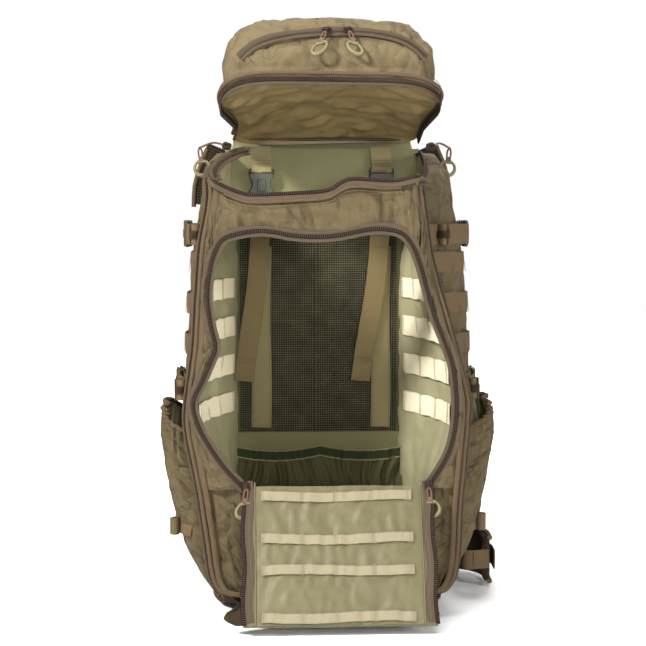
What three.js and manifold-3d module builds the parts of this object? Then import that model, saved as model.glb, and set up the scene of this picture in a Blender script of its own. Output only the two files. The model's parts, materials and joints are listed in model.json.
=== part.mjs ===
// A panel-loading hunting backpack, shown open: the hood is raised off the top mouth, and the front panel is
// unzipped, hanging down and folded once behind itself. Millimetres, +Z up, the wearer's back towards +Y,
// the front of the bag towards -Y, origin at the middle of the base panel's underside.
import * as THREE from "three";
import { mergeVertices } from "three/addons/utils/BufferGeometryUtils.js";
import Module from "manifold-3d";

const wasm = await Module();
wasm.setup();

// ---- driving dimensions -------------------------------------------------------------------------
const GAP = 0.4; // between pieces that are sewn face to face
const CURVED_GAP = 1; // the same, where both faces curve
const WEBBING = 25; // width of the webbing
const ROW_PITCH = 48; // from one webbing row to the next
const BASE_T = 8;
const BACK_Y = 115; // outer face of the back panel
const FRONT_Y = -126; // outer face of the front panel
const PANEL_T = 5;
const BACK_INNER_Y = BACK_Y - PANEL_T;
const FRONT_INNER_Y = FRONT_Y + PANEL_T;
const LINING_Y = 97; // inner face of the back wall
const RIM_FRONT_Z = 503; // the top mouth's edge slopes from here up to the back
const RIM_BACK_Z = 545;
const BACK_TOP_Z = 552;

// Half-widths of the bag at each height: outside at the front, the middle and the back, then inside at the
// front and the back. Between the two lie the closed side compartments.
const SECTIONS = [
  { z: BASE_T, outer: [122, 138, 128], inner: [116, 118] },
  { z: 60, outer: [128, 150, 131], inner: [119, 118] },
  { z: 165, outer: [138, 163, 134], inner: [122, 117] },
  { z: 202, outer: [154, 166, 134], inner: [144, 115] },
  { z: 262, outer: [163, 168, 132], inner: [157, 112] },
  { z: 345, outer: [156, 166, 128], inner: [148, 104] },
  { z: 400, outer: [148, 162, 127], inner: [138, 103] },
  { z: 450, outer: [136, 156, 127], inner: [122, 106] },
  { z: 503, outer: [131, 148, 126], inner: [121, 112] },
  { z: BACK_TOP_Z, outer: [128, 142, 125], inner: [120, 116] },
];
// Half-width of the unzipped front opening, from its lower edge to its arched top.
const OPENING = [
  [165, 118], [202, 140], [262, 154], [327, 145], [380, 137], [412, 128], [434, 113], [446, 92], [450, 64],
];

const HOOD = {
  hingeY: 108, hingeZ: 556, tilt: -14, length: 235, frontHalfWidth: 134, backHalfWidth: 122,
  skirt: 34, wall: 4, top: 82,
};
const FLAP = {
  hingeY: -131, hingeZ: 163, tilt: -27, lower: 168, upper: 122, halfWidth: 112, thickness: 3, fold: 2.6,
};
const POCKET = {
  bottomZ: 14, middleZ: 100, topZ: 238, bottomX: 150, middleX: 180, topX: 206, halfDepth: 62, wall: 3,
};
const SHOULDER = { x: 86, width: 62, thickness: 12, topZ: 545, splay: 7 };
const COMPRESSION = { upper: 443, lower: 262 };
const BUCKLE = {
  width: 34, thickness: 11, socketLength: 34, plugLength: 24, wall: 2, prong: 13, slotHalf: 13.2,
};

// ---- colours ------------------------------------------------------------------------------------
const finish = (color, roughness) => new THREE.MeshStandardMaterial({ color, roughness, metalness: 0 });
const MATERIAL = {
  shell: finish(0x8a7858, 0.9),
  lining: finish(0x80805f, 0.7),
  flapLining: finish(0xaaa27c, 0.55),
  mesh: finish(0x2c2c22, 0.95),
  webbing: finish(0x8c7c5a, 0.9),
  paleWebbing: finish(0xc9bb98, 0.9),
  zip: finish(0x57443a, 0.6),
  buckle: finish(0x6c6242, 0.5),
  greyBuckle: finish(0x5c605a, 0.45),
  ring: finish(0x9a9873, 0.45),
  foam: finish(0x4e4636, 0.95),
};

// ---- making solids ------------------------------------------------------------------------------
const bag = new THREE.Group();

function solid(geometry) {
  const bare = geometry.index ? geometry.toNonIndexed() : geometry.clone();
  bare.deleteAttribute("normal");
  bare.deleteAttribute("uv");
  const merged = mergeVertices(bare, 1e-3);
  const vertProperties = merged.attributes.position.array;
  const triVerts = new Uint32Array(merged.index.array);
  return new wasm.Manifold(new wasm.Mesh({ numProp: 3, vertProperties, triVerts }));
}

function geometryOf(manifold) {
  const mesh = manifold.getMesh();
  const geometry = new THREE.BufferGeometry();
  geometry.setAttribute("position", new THREE.BufferAttribute(new Float32Array(mesh.vertProperties), 3));
  geometry.setIndex(new THREE.BufferAttribute(new Uint32Array(mesh.triVerts), 1));
  return geometry;
}

function add(name, geometry, material, parent = bag) {
  const mesh = new THREE.Mesh(geometry, material);
  mesh.name = name;
  parent.add(mesh);
  return mesh;
}

const shapeOf = (points) => new THREE.Shape(points.map(([a, b]) => new THREE.Vector2(a, b)));

// A flat outline, with holes, drawn in two axes and extruded along the third.
function extruded(points, from, to, holes = []) {
  const shape = shapeOf(points);
  shape.holes = holes.map((hole) => new THREE.Path(hole.map(([a, b]) => new THREE.Vector2(a, b))));
  return new THREE.ExtrudeGeometry(shape, { depth: to - from, bevelEnabled: false }).translate(0, 0, from);
}
// Outline in X and Y, extruded along Z.
const inPlan = extruded;
// Outline in X and Z, extruded along Y.
const inFront = (points, y0, y1, holes) => extruded(points, -y1, -y0, holes).rotateX(Math.PI / 2);
// Outline in Y and Z, extruded along X.
const inSide = (points, x0, x1, holes) =>
  extruded(points, x0, x1, holes).applyMatrix4(new THREE.Matrix4().makeBasis(
    new THREE.Vector3(0, 1, 0), new THREE.Vector3(0, 0, 1), new THREE.Vector3(1, 0, 0)));

const block = (x0, x1, y0, y1, z0, z1) =>
  new THREE.BoxGeometry(x1 - x0, y1 - y0, z1 - z0).translate((x0 + x1) / 2, (y0 + y1) / 2, (z0 + z1) / 2);

// A smooth curve through 2-D points.
function smooth(points, steps) {
  const curve = new THREE.SplineCurve(points.map(([a, b]) => new THREE.Vector2(a, b)));
  return curve.getPoints(steps).map(({ x, y }) => [x, y]);
}

// A 2-D path moved sideways, to its left when the distance is positive.
function beside(path, distance) {
  return path.map(([a, b], i) => {
    const before = path[Math.max(i - 1, 0)];
    const after = path[Math.min(i + 1, path.length - 1)];
    const along = [after[0] - before[0], after[1] - before[1]];
    const scale = distance / Math.hypot(...along);
    return [a - along[1] * scale, b + along[0] * scale];
  });
}

// The outline of a strip of the given thickness centred on a 2-D path.
const strip = (path, thickness) =>
  [...beside(path, thickness / 2), ...beside(path, -thickness / 2).reverse()];

// The value at a place in a table of [place, value], straight between its lines.
function between(table, place) {
  const i = Math.min(Math.max(table.findIndex(([at]) => at >= place), 1), table.length - 1);
  const [from, a] = table[i - 1];
  const [to, b] = table[i];
  return a + ((b - a) * (place - from)) / (to - from);
}

// The bag's sides are flat between these heights and these depths.
const ROWS = SECTIONS.map(({ z }) => z);
const COLUMNS = Array.from({ length: 7 }, (_, i) => FRONT_Y + (i / 6) * (BACK_Y - FRONT_Y));
const ticks = (from, to, stops) =>
  [from, ...stops.filter((stop) => stop > from + 0.5 && stop < to - 0.5), to];

// The parabola through a value at the front, one at Y 0 and one at the back.
const bulge = ([front, middle, back], y) =>
  (front * y * (y - BACK_Y)) / (FRONT_Y * (FRONT_Y - BACK_Y)) +
  (middle * (y - FRONT_Y) * (y - BACK_Y)) / (FRONT_Y * BACK_Y) +
  (back * y * (y - FRONT_Y)) / (BACK_Y * (BACK_Y - FRONT_Y));
const atHeight = (z, widthOf) => between(SECTIONS.map((section) => [section.z, widthOf(section)]), z);
const outside = (z, y) =>
  between(COLUMNS.map((column) => [column, atHeight(z, ({ outer }) => bulge(outer, column))]), y);
const inside = (z, y) =>
  between([FRONT_Y, BACK_Y].map((end, i) => [end, atHeight(z, ({ inner }) => inner[i])]), y);

// A closed outline, the same on the left as on the right, whose half-width is known at each height.
function bothSides(from, to, half) {
  const right = ticks(from, to, ROWS).map((z) => [half(z), z]);
  return [...right, ...right.map(([x, z]) => [-x, z]).reverse()];
}

// A solid on one side of the bag, between two half-widths that vary with height and depth.
function sideSolid(s, [z0, z1], [y0, y1], far, near) {
  const rows = ticks(z0, z1, ROWS);
  const columns = ticks(y0, y1, COLUMNS);
  const surface = (half) => rows.flatMap((z) => columns.flatMap((y) => [s * half(z, y), y, z]));
  const at = (layer, i, j) => (layer * rows.length + i) * columns.length + j;
  const faces = [];
  const quad = (a, b, c, d) => faces.push(...(s > 0 ? [a, b, c, a, c, d] : [a, c, b, a, d, c]));
  for (let i = 0; i < rows.length - 1; i++) {
    for (let j = 0; j < columns.length - 1; j++) {
      quad(at(0, i, j), at(0, i, j + 1), at(0, i + 1, j + 1), at(0, i + 1, j));
      quad(at(1, i, j), at(1, i + 1, j), at(1, i + 1, j + 1), at(1, i, j + 1));
    }
    quad(at(1, i, 0), at(0, i, 0), at(0, i + 1, 0), at(1, i + 1, 0));
    const last = columns.length - 1;
    quad(at(0, i, last), at(1, i, last), at(1, i + 1, last), at(0, i + 1, last));
  }
  for (let j = 0; j < columns.length - 1; j++) {
    const top = rows.length - 1;
    quad(at(0, 0, j), at(1, 0, j), at(1, 0, j + 1), at(0, 0, j + 1));
    quad(at(0, top, j), at(0, top, j + 1), at(1, top, j + 1), at(1, top, j));
  }
  const geometry = new THREE.BufferGeometry();
  geometry.setAttribute("position", new THREE.Float32BufferAttribute([...surface(far), ...surface(near)], 3));
  geometry.setIndex(faces);
  return geometry;
}

// The plan of the hood: straight at the back, with its two front corners rounded.
function hoodPlan(inset, backInset, radius) {
  const { length, frontHalfWidth, backHalfWidth } = HOOD;
  const front = -length + inset;
  const halfWidth = frontHalfWidth - inset;
  const corner = (cx, start) =>
    Array.from({ length: 7 }, (_, i) => {
      const angle = start + (i / 6) * (Math.PI / 2);
      return [cx + radius * Math.cos(angle), front + radius + radius * Math.sin(angle)];
    });
  return [
    [backHalfWidth - inset, -backInset], [-backHalfWidth + inset, -backInset],
    ...corner(-halfWidth + radius, Math.PI), ...corner(halfWidth - radius, 1.5 * Math.PI),
  ];
}

const SIDES = [["left", -1], ["right", 1]];

// ---- the bag ------------------------------------------------------------------------------------
function makeBody() {
  const base = [[-126, BACK_Y], [-137, 0], [-121, FRONT_Y], [121, FRONT_Y], [137, 0], [126, BACK_Y]];
  add("bottom_panel", inPlan(base, 0, BASE_T - GAP), MATERIAL.shell);
  const backOutline = bothSides(BASE_T, BACK_TOP_Z, (z) => outside(z, BACK_Y));
  add("back_panel", inFront(backOutline, BACK_INNER_Y, BACK_Y), MATERIAL.shell);
  const within = (inset) => (z) => inside(z, BACK_Y) - inset;
  const lining = bothSides(BASE_T + 2, 540, within(1.5));
  add("inner_lining", inFront(lining, LINING_Y, LINING_Y + 3), MATERIAL.lining);
  const mesh = bothSides(196, 447, within(4));
  add("mesh_panel", inFront(mesh, LINING_Y - 2.4, LINING_Y - GAP), MATERIAL.mesh);

  const slope = Math.atan2(RIM_BACK_Z - RIM_FRONT_Z, BACK_Y - FRONT_Y);
  const above = solid(new THREE.BoxGeometry(400, 600, 200).translate(0, 0, 100).rotateX(slope)
    .translate(0, FRONT_Y, RIM_FRONT_Z));
  for (const [side, s] of SIDES) {
    const depth = [FRONT_INNER_Y + GAP, BACK_INNER_Y - GAP];
    const wall = solid(sideSolid(s, [BASE_T, BACK_TOP_Z], depth, outside, inside));
    add(`side_panel_${side}`, geometryOf(wall.subtract(above)), MATERIAL.shell);
  }

  const arch = OPENING.map(([z, x]) => [x, z]);
  const opening = smooth([...arch, ...arch.map(([x, z]) => [-x, z]).reverse()], 44);
  const frontOutline = bothSides(BASE_T, RIM_FRONT_Z, (z) => outside(z, FRONT_Y));
  add("front_panel", inFront(frontOutline, FRONT_Y, FRONT_INNER_Y, [opening]), MATERIAL.shell);

  // Zip tape round the inside of the opening, and along the edge of the top mouth.
  add("zip_opening", inFront(strip(beside(opening, 2 + GAP), 4), FRONT_Y, FRONT_Y + 3), MATERIAL.zip);
  const halfMouth = [[126, -8], [144, -110], [141, -175], [131, -224], [116, -236]];
  const rim = [...halfMouth, ...halfMouth.map(([x, y]) => [-x, y]).reverse()];
  const mouth = new THREE.Group();
  mouth.position.set(0, BACK_INNER_Y, RIM_BACK_Z + 1.5);
  mouth.rotation.x = slope;
  bag.add(mouth);
  add("zip_mouth", inPlan(strip(rim, 4), 0, 4), MATERIAL.zip, mouth);
}

// ---- inside the bag -----------------------------------------------------------------------------
function makeInside() {
  const front = 74;
  const half = [[114, LINING_Y - 1], [112, front + 6], [104, front]];
  const plan = strip([...half, ...half.map(([x, y]) => [-x, y]).reverse()], 2.4);
  add("gathered_pocket", inPlan(plan, BASE_T + 2, 172), MATERIAL.lining);

  for (const [side, s] of SIDES) {
    const x = s * 76;
    const [strapFront, strapBack] = [LINING_Y - 4.6, LINING_Y - 2.8];
    add(`inner_strap_${side}`, block(x - 12.5, x + 12.5, strapFront, strapBack, 205, 425), MATERIAL.webbing);
    // The top strap's buckle, on its short anchor webbing.
    const tab = solid(block(x - 12.5, x + 12.5, LINING_Y - 4, LINING_Y - GAP, 505, 538));
    const buckle = solid(block(x - 17, x + 17, LINING_Y - 13, LINING_Y - 3, 468, 506));
    add(`inner_buckle_${side}`, geometryOf(buckle.add(tab)), MATERIAL.greyBuckle);
    const hanging = new THREE.Group();
    hanging.position.set(x, LINING_Y - 10, 466);
    hanging.rotation.y = THREE.MathUtils.degToRad(5);
    bag.add(hanging);
    const path = [[0, -1], [2, -30], [0, -110], [-2, -205]];
    add(`hanging_strap_${side}`, inSide(strip(path, 2), -12.5, 12.5), MATERIAL.paleWebbing, hanging);

    const depth = [-62, 74];
    add(`inner_webbing_${side}`, ladder(s, 374, depth, [68, 74], (z, y) => inside(z, y) - CURVED_GAP, -1.8),
      MATERIAL.paleWebbing);
  }
}

// Four webbing rows sewn along the bag's side and joined by the tape at their back end.
function ladder(s, topRowZ, depth, tapeDepth, skin, thickness) {
  const half = WEBBING / 2;
  const face = (z, y) => skin(z, y) + thickness;
  const layers = thickness > 0 ? [face, skin] : [skin, face];
  const tape = solid(sideSolid(s, [topRowZ - 3 * ROW_PITCH - half, topRowZ + half], tapeDepth, ...layers));
  const rows = [0, 1, 2, 3].map((i) => topRowZ - i * ROW_PITCH);
  return geometryOf(rows.reduce(
    (made, z) => made.add(solid(sideSolid(s, [z - half, z + half], depth, ...layers))), tape));
}

// ---- outside: webbing rows, side pockets --------------------------------------------------------
function makeOutside() {
  for (const [side, s] of SIDES) {
    const skin = (z, y) => outside(z, y) + CURVED_GAP;
    add(`outer_webbing_${side}`, ladder(s, 410, [-104, 96], [90, 96], skin, 1.8), MATERIAL.webbing);

    // A pleated pocket that stands off the side panel and is open at the top.
    const { bottomZ, middleZ, topZ, bottomX, middleX, topX, halfDepth, wall } = POCKET;
    const profile = (inset, top) => [
      [s * 90, bottomZ + inset], [s * (bottomX - inset), bottomZ + inset], [s * (middleX - inset), middleZ],
      [s * (topX - inset), top], [s * 90, top],
    ];
    const pocket = solid(inFront(profile(0, topZ), -halfDepth, halfDepth))
      .subtract(solid(inFront(profile(wall, topZ + 1), -halfDepth + wall, halfDepth - wall)))
      .subtract(solid(sideSolid(s, [BASE_T, 400], [-80, 80], skin, () => 80)));
    add(`side_pocket_${side}`, geometryOf(pocket), MATERIAL.shell);
  }
}

// ---- side-release buckles --------------------------------------------------------------------
// Both halves lie along Y, with their flat faces across X and the socket's mouth at Y 0.
function socket() {
  const { width, thickness, socketLength, wall } = BUCKLE;
  const halfT = thickness / 2;
  const halfW = width / 2;
  const body = solid(block(-halfT, halfT, 0, socketLength, -halfW, halfW));
  const mouth = block(-halfT + wall, halfT - wall, -1, 18, -halfW + wall + 1, halfW - wall - 1);
  const bar = block(-halfT - 1, halfT + 1, socketLength - 8, socketLength - 5, -13, 13);
  return body.subtract(solid(mouth)).subtract(solid(bar));
}
function plug() {
  const { width, thickness, plugLength, prong, slotHalf, wall } = BUCKLE;
  const body = solid(block(-thickness / 2, thickness / 2, -plugLength, -GAP, -width / 2, width / 2));
  const reach = thickness / 2 - wall - 0.6;
  const prongs = [-1, 1].map((s) => solid(block(-reach, reach, -3, prong, s * 9 - 3.4, s * 9 + 3.4)));
  const slot = solid(block(-1.6, 1.6, -plugLength - 1, -6, -slotHalf, slotHalf));
  return body.add(prongs[0]).add(prongs[1]).subtract(slot);
}
// Where a strap ends inside the plug's slot, so that the plug can be drawn back along it.
const STRAP_END = -BUCKLE.plugLength + 2.5;

function makeCompressionStraps() {
  const mouthY = 14;
  for (const [side, s] of SIDES)
    for (const [level, z] of Object.entries(COMPRESSION)) {
      const x = outside(z, mouthY) + 14;
      const at = new THREE.Group();
      at.position.set(s * x, mouthY, z);
      bag.add(at);
      const offset = (y) => s * (outside(z, y) + 5 - x);
      const band = (path) => inPlan(strip(path, 2), -WEBBING / 2, WEBBING / 2);
      const tab = band([[0, BUCKLE.socketLength - 2], [0, 38], [offset(70), 56], [offset(88), 74]]);
      add(`${level}_buckle_socket_${side}`, geometryOf(socket().add(solid(tab))), MATERIAL.buckle, at);
      add(`${level}_buckle_plug_${side}`, geometryOf(plug()), MATERIAL.buckle, at);
      const strapPath = [[offset(-106), -120], [offset(-66), -80], [0, -50], [0, STRAP_END]];
      add(`${level}_strap_${side}`, band(strapPath), MATERIAL.webbing, at);
    }
}

// ---- the hood -----------------------------------------------------------------------------------
function makeHood() {
  const { length, skirt, wall, top } = HOOD;
  const hood = new THREE.Group();
  hood.position.set(0, HOOD.hingeY, HOOD.hingeZ);
  hood.rotation.x = THREE.MathUtils.degToRad(HOOD.tilt);
  bag.add(hood);

  const outer = solid(inPlan(hoodPlan(0, 4, 48), 0, skirt));
  const hollow = solid(inPlan(hoodPlan(wall, 4 + wall, 44), -1, skirt - wall));
  add("hood_shell", geometryOf(outer.subtract(hollow)), MATERIAL.shell, hood);

  // The stuffed lid pocket on top, with its edges rounded over.
  const round = 15;
  const puffed = new THREE.ExtrudeGeometry(shapeOf(hoodPlan(4 + round, 10 + round, 34)), {
    depth: top - skirt - GAP - 2 * round, bevelEnabled: true, bevelSize: round, bevelThickness: round,
    bevelSegments: 3,
  }).translate(0, 0, skirt + GAP + round);
  add("lid_pocket", puffed, MATERIAL.shell, hood);

  // Zip tape under the hood's open edge, and the lid pocket's zip across its front.
  const edge = hoodPlan(2, 20, 46).slice(2);
  add("zip_hood", inPlan(strip(edge, 4), -4.4, -GAP), MATERIAL.zip, hood);
  const across = smooth([[-118, 50], [-92, 62], [0, 69], [92, 62], [118, 50]], 16);
  add("zip_lid_pocket", inFront(strip(across, 10), -length, -length + 3.5), MATERIAL.zip, hood);

  for (const [side, s] of SIDES)
    add(`lid_pull_${side}`, pull(), MATERIAL.ring, hood).position.set(s * 13, -length - 3, 68);
}

// A zip pull: a moulded ring that hangs on a loop of cord from the origin.
function pull() {
  const ring = solid(new THREE.TorusGeometry(10, 2, 6, 16).rotateX(Math.PI / 2).translate(0, 0, -24));
  const cord = solid(inFront([[-1.5, 0], [1.5, 0], [6, -14.5], [-6, -14.5]], -1.2, 1.2));
  return geometryOf(ring.add(cord));
}

// ---- the front flap -----------------------------------------------------------------------------
function makeFlap() {
  const { lower, upper, thickness, fold, halfWidth } = FLAP;
  const flap = new THREE.Group();
  flap.position.set(0, FLAP.hingeY, FLAP.hingeZ);
  flap.rotation.x = THREE.MathUtils.degToRad(FLAP.tilt);
  bag.add(flap);
  // The lower panel hangs from the hinge, its coated inside to the front. The upper one is folded behind it.
  add("flap_lower", block(-halfWidth, halfWidth, -thickness, 0, -lower + 1, -3), MATERIAL.flapLining, flap);
  const half = [[0, 0], [0, upper - 46], [-12, upper - 18], [-42, upper]].map(([x, z]) => [halfWidth + x, z]);
  const outline = [...half, ...half.map(([x, z]) => [-x, z]).reverse()];
  const folded = inFront(outline, fold, fold + thickness).translate(0, 0, -lower);
  add("flap_upper", folded, MATERIAL.shell, flap);
  const row = (z) => solid(block(-86, 86, -thickness - 2.4, -thickness - GAP, -z - 13, -z));
  const tape = solid(block(-1.5, 1.5, -thickness - 1.4, -thickness - GAP, -162, -12));
  const rows = [10, 56, 92, 150].reduce((made, z) => made.add(row(z)), tape);
  add("flap_webbing", geometryOf(rows), MATERIAL.paleWebbing, flap);
}

function makePulls() {
  for (const [side, s] of SIDES) {
    add(`mouth_pull_${side}`, pull(), MATERIAL.ring).position.set(s * 160, 20, 547);
    add(`flap_pull_${side}`, pull(), MATERIAL.ring).position.set(s * 127, FRONT_Y - 4, 152);
  }
}

// ---- the harness --------------------------------------------------------------------------------
function makeHarness() {
  for (const [side, s] of SIDES) {
    const x = s * 72;
    add(`back_pad_${side}`, block(x - 46, x + 46, BACK_Y + GAP, BACK_Y + 16, 178, 488), MATERIAL.foam);

    // The strap bows away from the back, and its lower end stands further out than its top.
    const { width, thickness, topZ, splay } = SHOULDER;
    const shoulder = new THREE.Group();
    shoulder.position.set(s * SHOULDER.x, BACK_Y, topZ);
    shoulder.rotation.y = -s * THREE.MathUtils.degToRad(splay);
    bag.add(shoulder);
    const path = smooth([[9, 0], [32, -25], [50, -95], [54, -185], [44, -275], [30, -323]], 20);
    const bowed = inSide(strip(path, thickness), -width / 2, width / 2);
    add(`shoulder_strap_${side}`, bowed, MATERIAL.foam, shoulder);
  }
  add("lumbar_pad", block(-118, 118, BACK_Y + GAP, BACK_Y + 22, 30, 150), MATERIAL.foam);

  const grip = smooth([[-46, 2], [-40, 16], [-22, 22], [22, 22], [40, 16], [46, 2]], 20);
  const handle = inPlan(strip(grip, 3), 508, 533).translate(0, BACK_Y, 0);
  add("haul_handle", handle, MATERIAL.webbing);

  // The sternum strap runs between the shoulder straps, behind the pads.
  const clip = new THREE.Group();
  clip.position.set(-4, BACK_Y + 61, 430);
  clip.rotation.z = -Math.PI / 2;
  bag.add(clip);
  const band = (from, to) => block(-1.2, 1.2, from, to, -10, 10);
  const socketOnStrap = socket().add(solid(band(BUCKLE.socketLength - 3, 88)));
  add("sternum_socket", geometryOf(socketOnStrap), MATERIAL.buckle, clip);
  add("sternum_plug", geometryOf(plug()), MATERIAL.buckle, clip);
  add("sternum_strap", band(-80, STRAP_END), MATERIAL.webbing, clip);
}

// The hip belt's padded wings, each with half of the belt buckle. The right one curves forward round the
// bag's side, with its strap tucked back inside it. The left one is folded behind the harness.
function makeBelt() {
  const top = 58;
  const wing = (points) => solid(inPlan(strip(smooth(points, 16), 10), 0, top));
  const strap = (path) => solid(inPlan(strip(path, 2), top / 2 - WEBBING / 2, top / 2 + WEBBING / 2));
  const right = new THREE.Group();
  right.position.set(124, BACK_Y + 14, 5);
  bag.add(right);
  const tucked = [[80, -98], [58, -104], [48, -92], [48, -62]];
  const rightWing = wing([[2, 0], [38, -6], [68, -28], [82, -62], [82, -102]]).add(strap(tucked));
  add("belt_wing_right", geometryOf(rightWing), MATERIAL.foam, right);
  add("belt_plug", geometryOf(plug()), MATERIAL.buckle, right).position.set(48, -62 - STRAP_END, top / 2);

  const left = new THREE.Group();
  left.position.set(-124, BACK_Y + 14, 5);
  bag.add(left);
  const curled = [[-2, 0], [-22, 10], [-30, 30], [-16, 48], [16, 54]];
  const leftWing = wing(curled).add(strap([[14, 54], [62, 54]]));
  add("belt_wing_left", geometryOf(leftWing), MATERIAL.foam, left);
  const leftSocket = new THREE.Group();
  leftSocket.position.set(62 + GAP + BUCKLE.socketLength, 54, top / 2);
  leftSocket.rotation.z = Math.PI / 2;
  left.add(leftSocket);
  add("belt_socket", geometryOf(socket()), MATERIAL.buckle, leftSocket);
}

makeBody();
makeInside();
makeOutside();
makeCompressionStraps();
makeHood();
makeFlap();
makePulls();
makeHarness();
makeBelt();

export default bag;
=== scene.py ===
"""The looks of the open hunting backpack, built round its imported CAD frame.

Shapes are worked out in millimetres in the CAD frame: +Z up, the wearer's back towards +Y, the bag's front
towards -Y, +X to the right of someone who faces the front.
"""

import json
import math

import bpy
import numpy as np
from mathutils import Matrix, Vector, noise
from mathutils.bvhtree import BVHTree


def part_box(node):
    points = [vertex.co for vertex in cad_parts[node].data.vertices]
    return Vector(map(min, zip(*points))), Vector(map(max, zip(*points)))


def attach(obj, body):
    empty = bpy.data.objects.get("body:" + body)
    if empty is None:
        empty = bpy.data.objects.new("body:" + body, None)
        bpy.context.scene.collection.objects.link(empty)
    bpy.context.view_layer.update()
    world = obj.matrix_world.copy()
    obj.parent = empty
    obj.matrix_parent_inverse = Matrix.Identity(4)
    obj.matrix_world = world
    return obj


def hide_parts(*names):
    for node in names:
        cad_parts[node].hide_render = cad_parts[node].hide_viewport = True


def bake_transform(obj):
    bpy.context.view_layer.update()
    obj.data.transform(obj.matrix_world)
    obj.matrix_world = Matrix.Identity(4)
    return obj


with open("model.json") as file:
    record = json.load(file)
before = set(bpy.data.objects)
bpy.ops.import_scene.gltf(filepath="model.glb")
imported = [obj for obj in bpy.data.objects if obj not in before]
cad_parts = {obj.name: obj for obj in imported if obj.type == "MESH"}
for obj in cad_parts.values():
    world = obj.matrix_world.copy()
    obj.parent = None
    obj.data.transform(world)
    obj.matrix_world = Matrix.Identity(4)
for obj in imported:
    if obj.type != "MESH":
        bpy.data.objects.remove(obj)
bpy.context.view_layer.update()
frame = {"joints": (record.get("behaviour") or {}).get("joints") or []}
MM = 0.001
SIDES = (("left", -1), ("right", 1))
TAU = 2 * math.pi


# ---- camera, light and floor ---------------------------------------------------------------------------


def aim(thing, target):
    direction = Vector(target) - thing.location
    thing.rotation_euler = direction.to_track_quat("-Z", "Y").to_euler()


def make_camera():
    azimuth, elevation, distance = math.radians(-3), math.radians(4), 2.0
    target = Vector((0, 0, 0.334))
    camera = bpy.data.objects.new("camera", bpy.data.cameras.new("camera"))
    bpy.context.scene.collection.objects.link(camera)
    camera.data.lens = 91.4
    camera.data.sensor_width = 36
    camera.data.shift_x = -0.006
    out = Vector((math.sin(azimuth) * math.cos(elevation), -math.cos(azimuth) * math.cos(elevation),
                  math.sin(elevation)))
    camera.location = target + distance * out
    aim(camera, target)
    bpy.context.scene.camera = camera


def make_stage():
    scene = bpy.context.scene
    scene.view_settings.view_transform = "Standard"
    scene.view_settings.gamma = 0.86
    for name, place, size, power in (
        ("key", (-1.6, -1.5, 1.9), 0.4, 128),
        ("front", (0.1, -2.7, 0.7), 0.5, 47),
        ("fill", (2.0, -1.6, 1.0), 0.6, 38),
        ("top", (0.0, -0.2, 2.6), 0.8, 48),
        ("rim", (0.9, 2.4, 1.7), 1.0, 50),
    ):
        data = bpy.data.lights.new(name, "AREA")
        data.energy = power
        data.size = size
        light = bpy.data.objects.new(name, data)
        scene.collection.objects.link(light)
        light.location = place
        aim(light, (0, 0, 0.3))
    world = bpy.data.worlds.new("studio")
    world.use_nodes = True
    tree = world.node_tree
    tree.nodes["Background"].inputs["Color"].default_value = (1, 1, 1, 1)
    seen = tree.nodes.new("ShaderNodeLightPath")
    strength = tree.nodes.new("ShaderNodeMapRange")
    strength.inputs["To Min"].default_value = 0.15
    strength.inputs["To Max"].default_value = 1.0
    tree.links.new(seen.outputs["Is Camera Ray"], strength.inputs["Value"])
    tree.links.new(strength.outputs["Result"], tree.nodes["Background"].inputs["Strength"])
    scene.world = world
    floor = bpy.data.meshes.new("floor")
    size = 6
    floor.from_pydata([(-size, -size, 0), (size, -size, 0), (size, size, 0), (-size, size, 0)], [],
                      [(0, 1, 2, 3)])
    ground = bpy.data.objects.new("floor", floor)
    scene.collection.objects.link(ground)
    ground.location.z = -0.0006
    nodes = Nodes("floor_paper")
    nodes.set(Roughness=0.85)
    grain = nodes.noise(40, 3)
    nodes.shade_to("Base Color", nodes.ramp(grain, (0.88, 0.88, 0.88), (0.92, 0.92, 0.92)))
    x, y, _ = nodes.axes()
    far = nodes.math("SQRT", nodes.math("ADD", nodes.math("MULTIPLY", x, x), nodes.math("MULTIPLY", y, y)))
    glow = nodes.math("SMOOTH_MAX", nodes.math("MULTIPLY_ADD", far, 1.1, -0.42), 0.0, 0.1)
    nodes.shade_to("Emission Color", (1, 1, 1))
    seen = nodes.add("ShaderNodeLightPath").outputs["Is Camera Ray"]
    nodes.shade_to("Emission Strength", nodes.math("MULTIPLY", nodes.math("MINIMUM", glow, 0.8), seen))
    floor.materials.append(nodes.material)


# ---- materials -----------------------------------------------------------------------------------------


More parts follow.
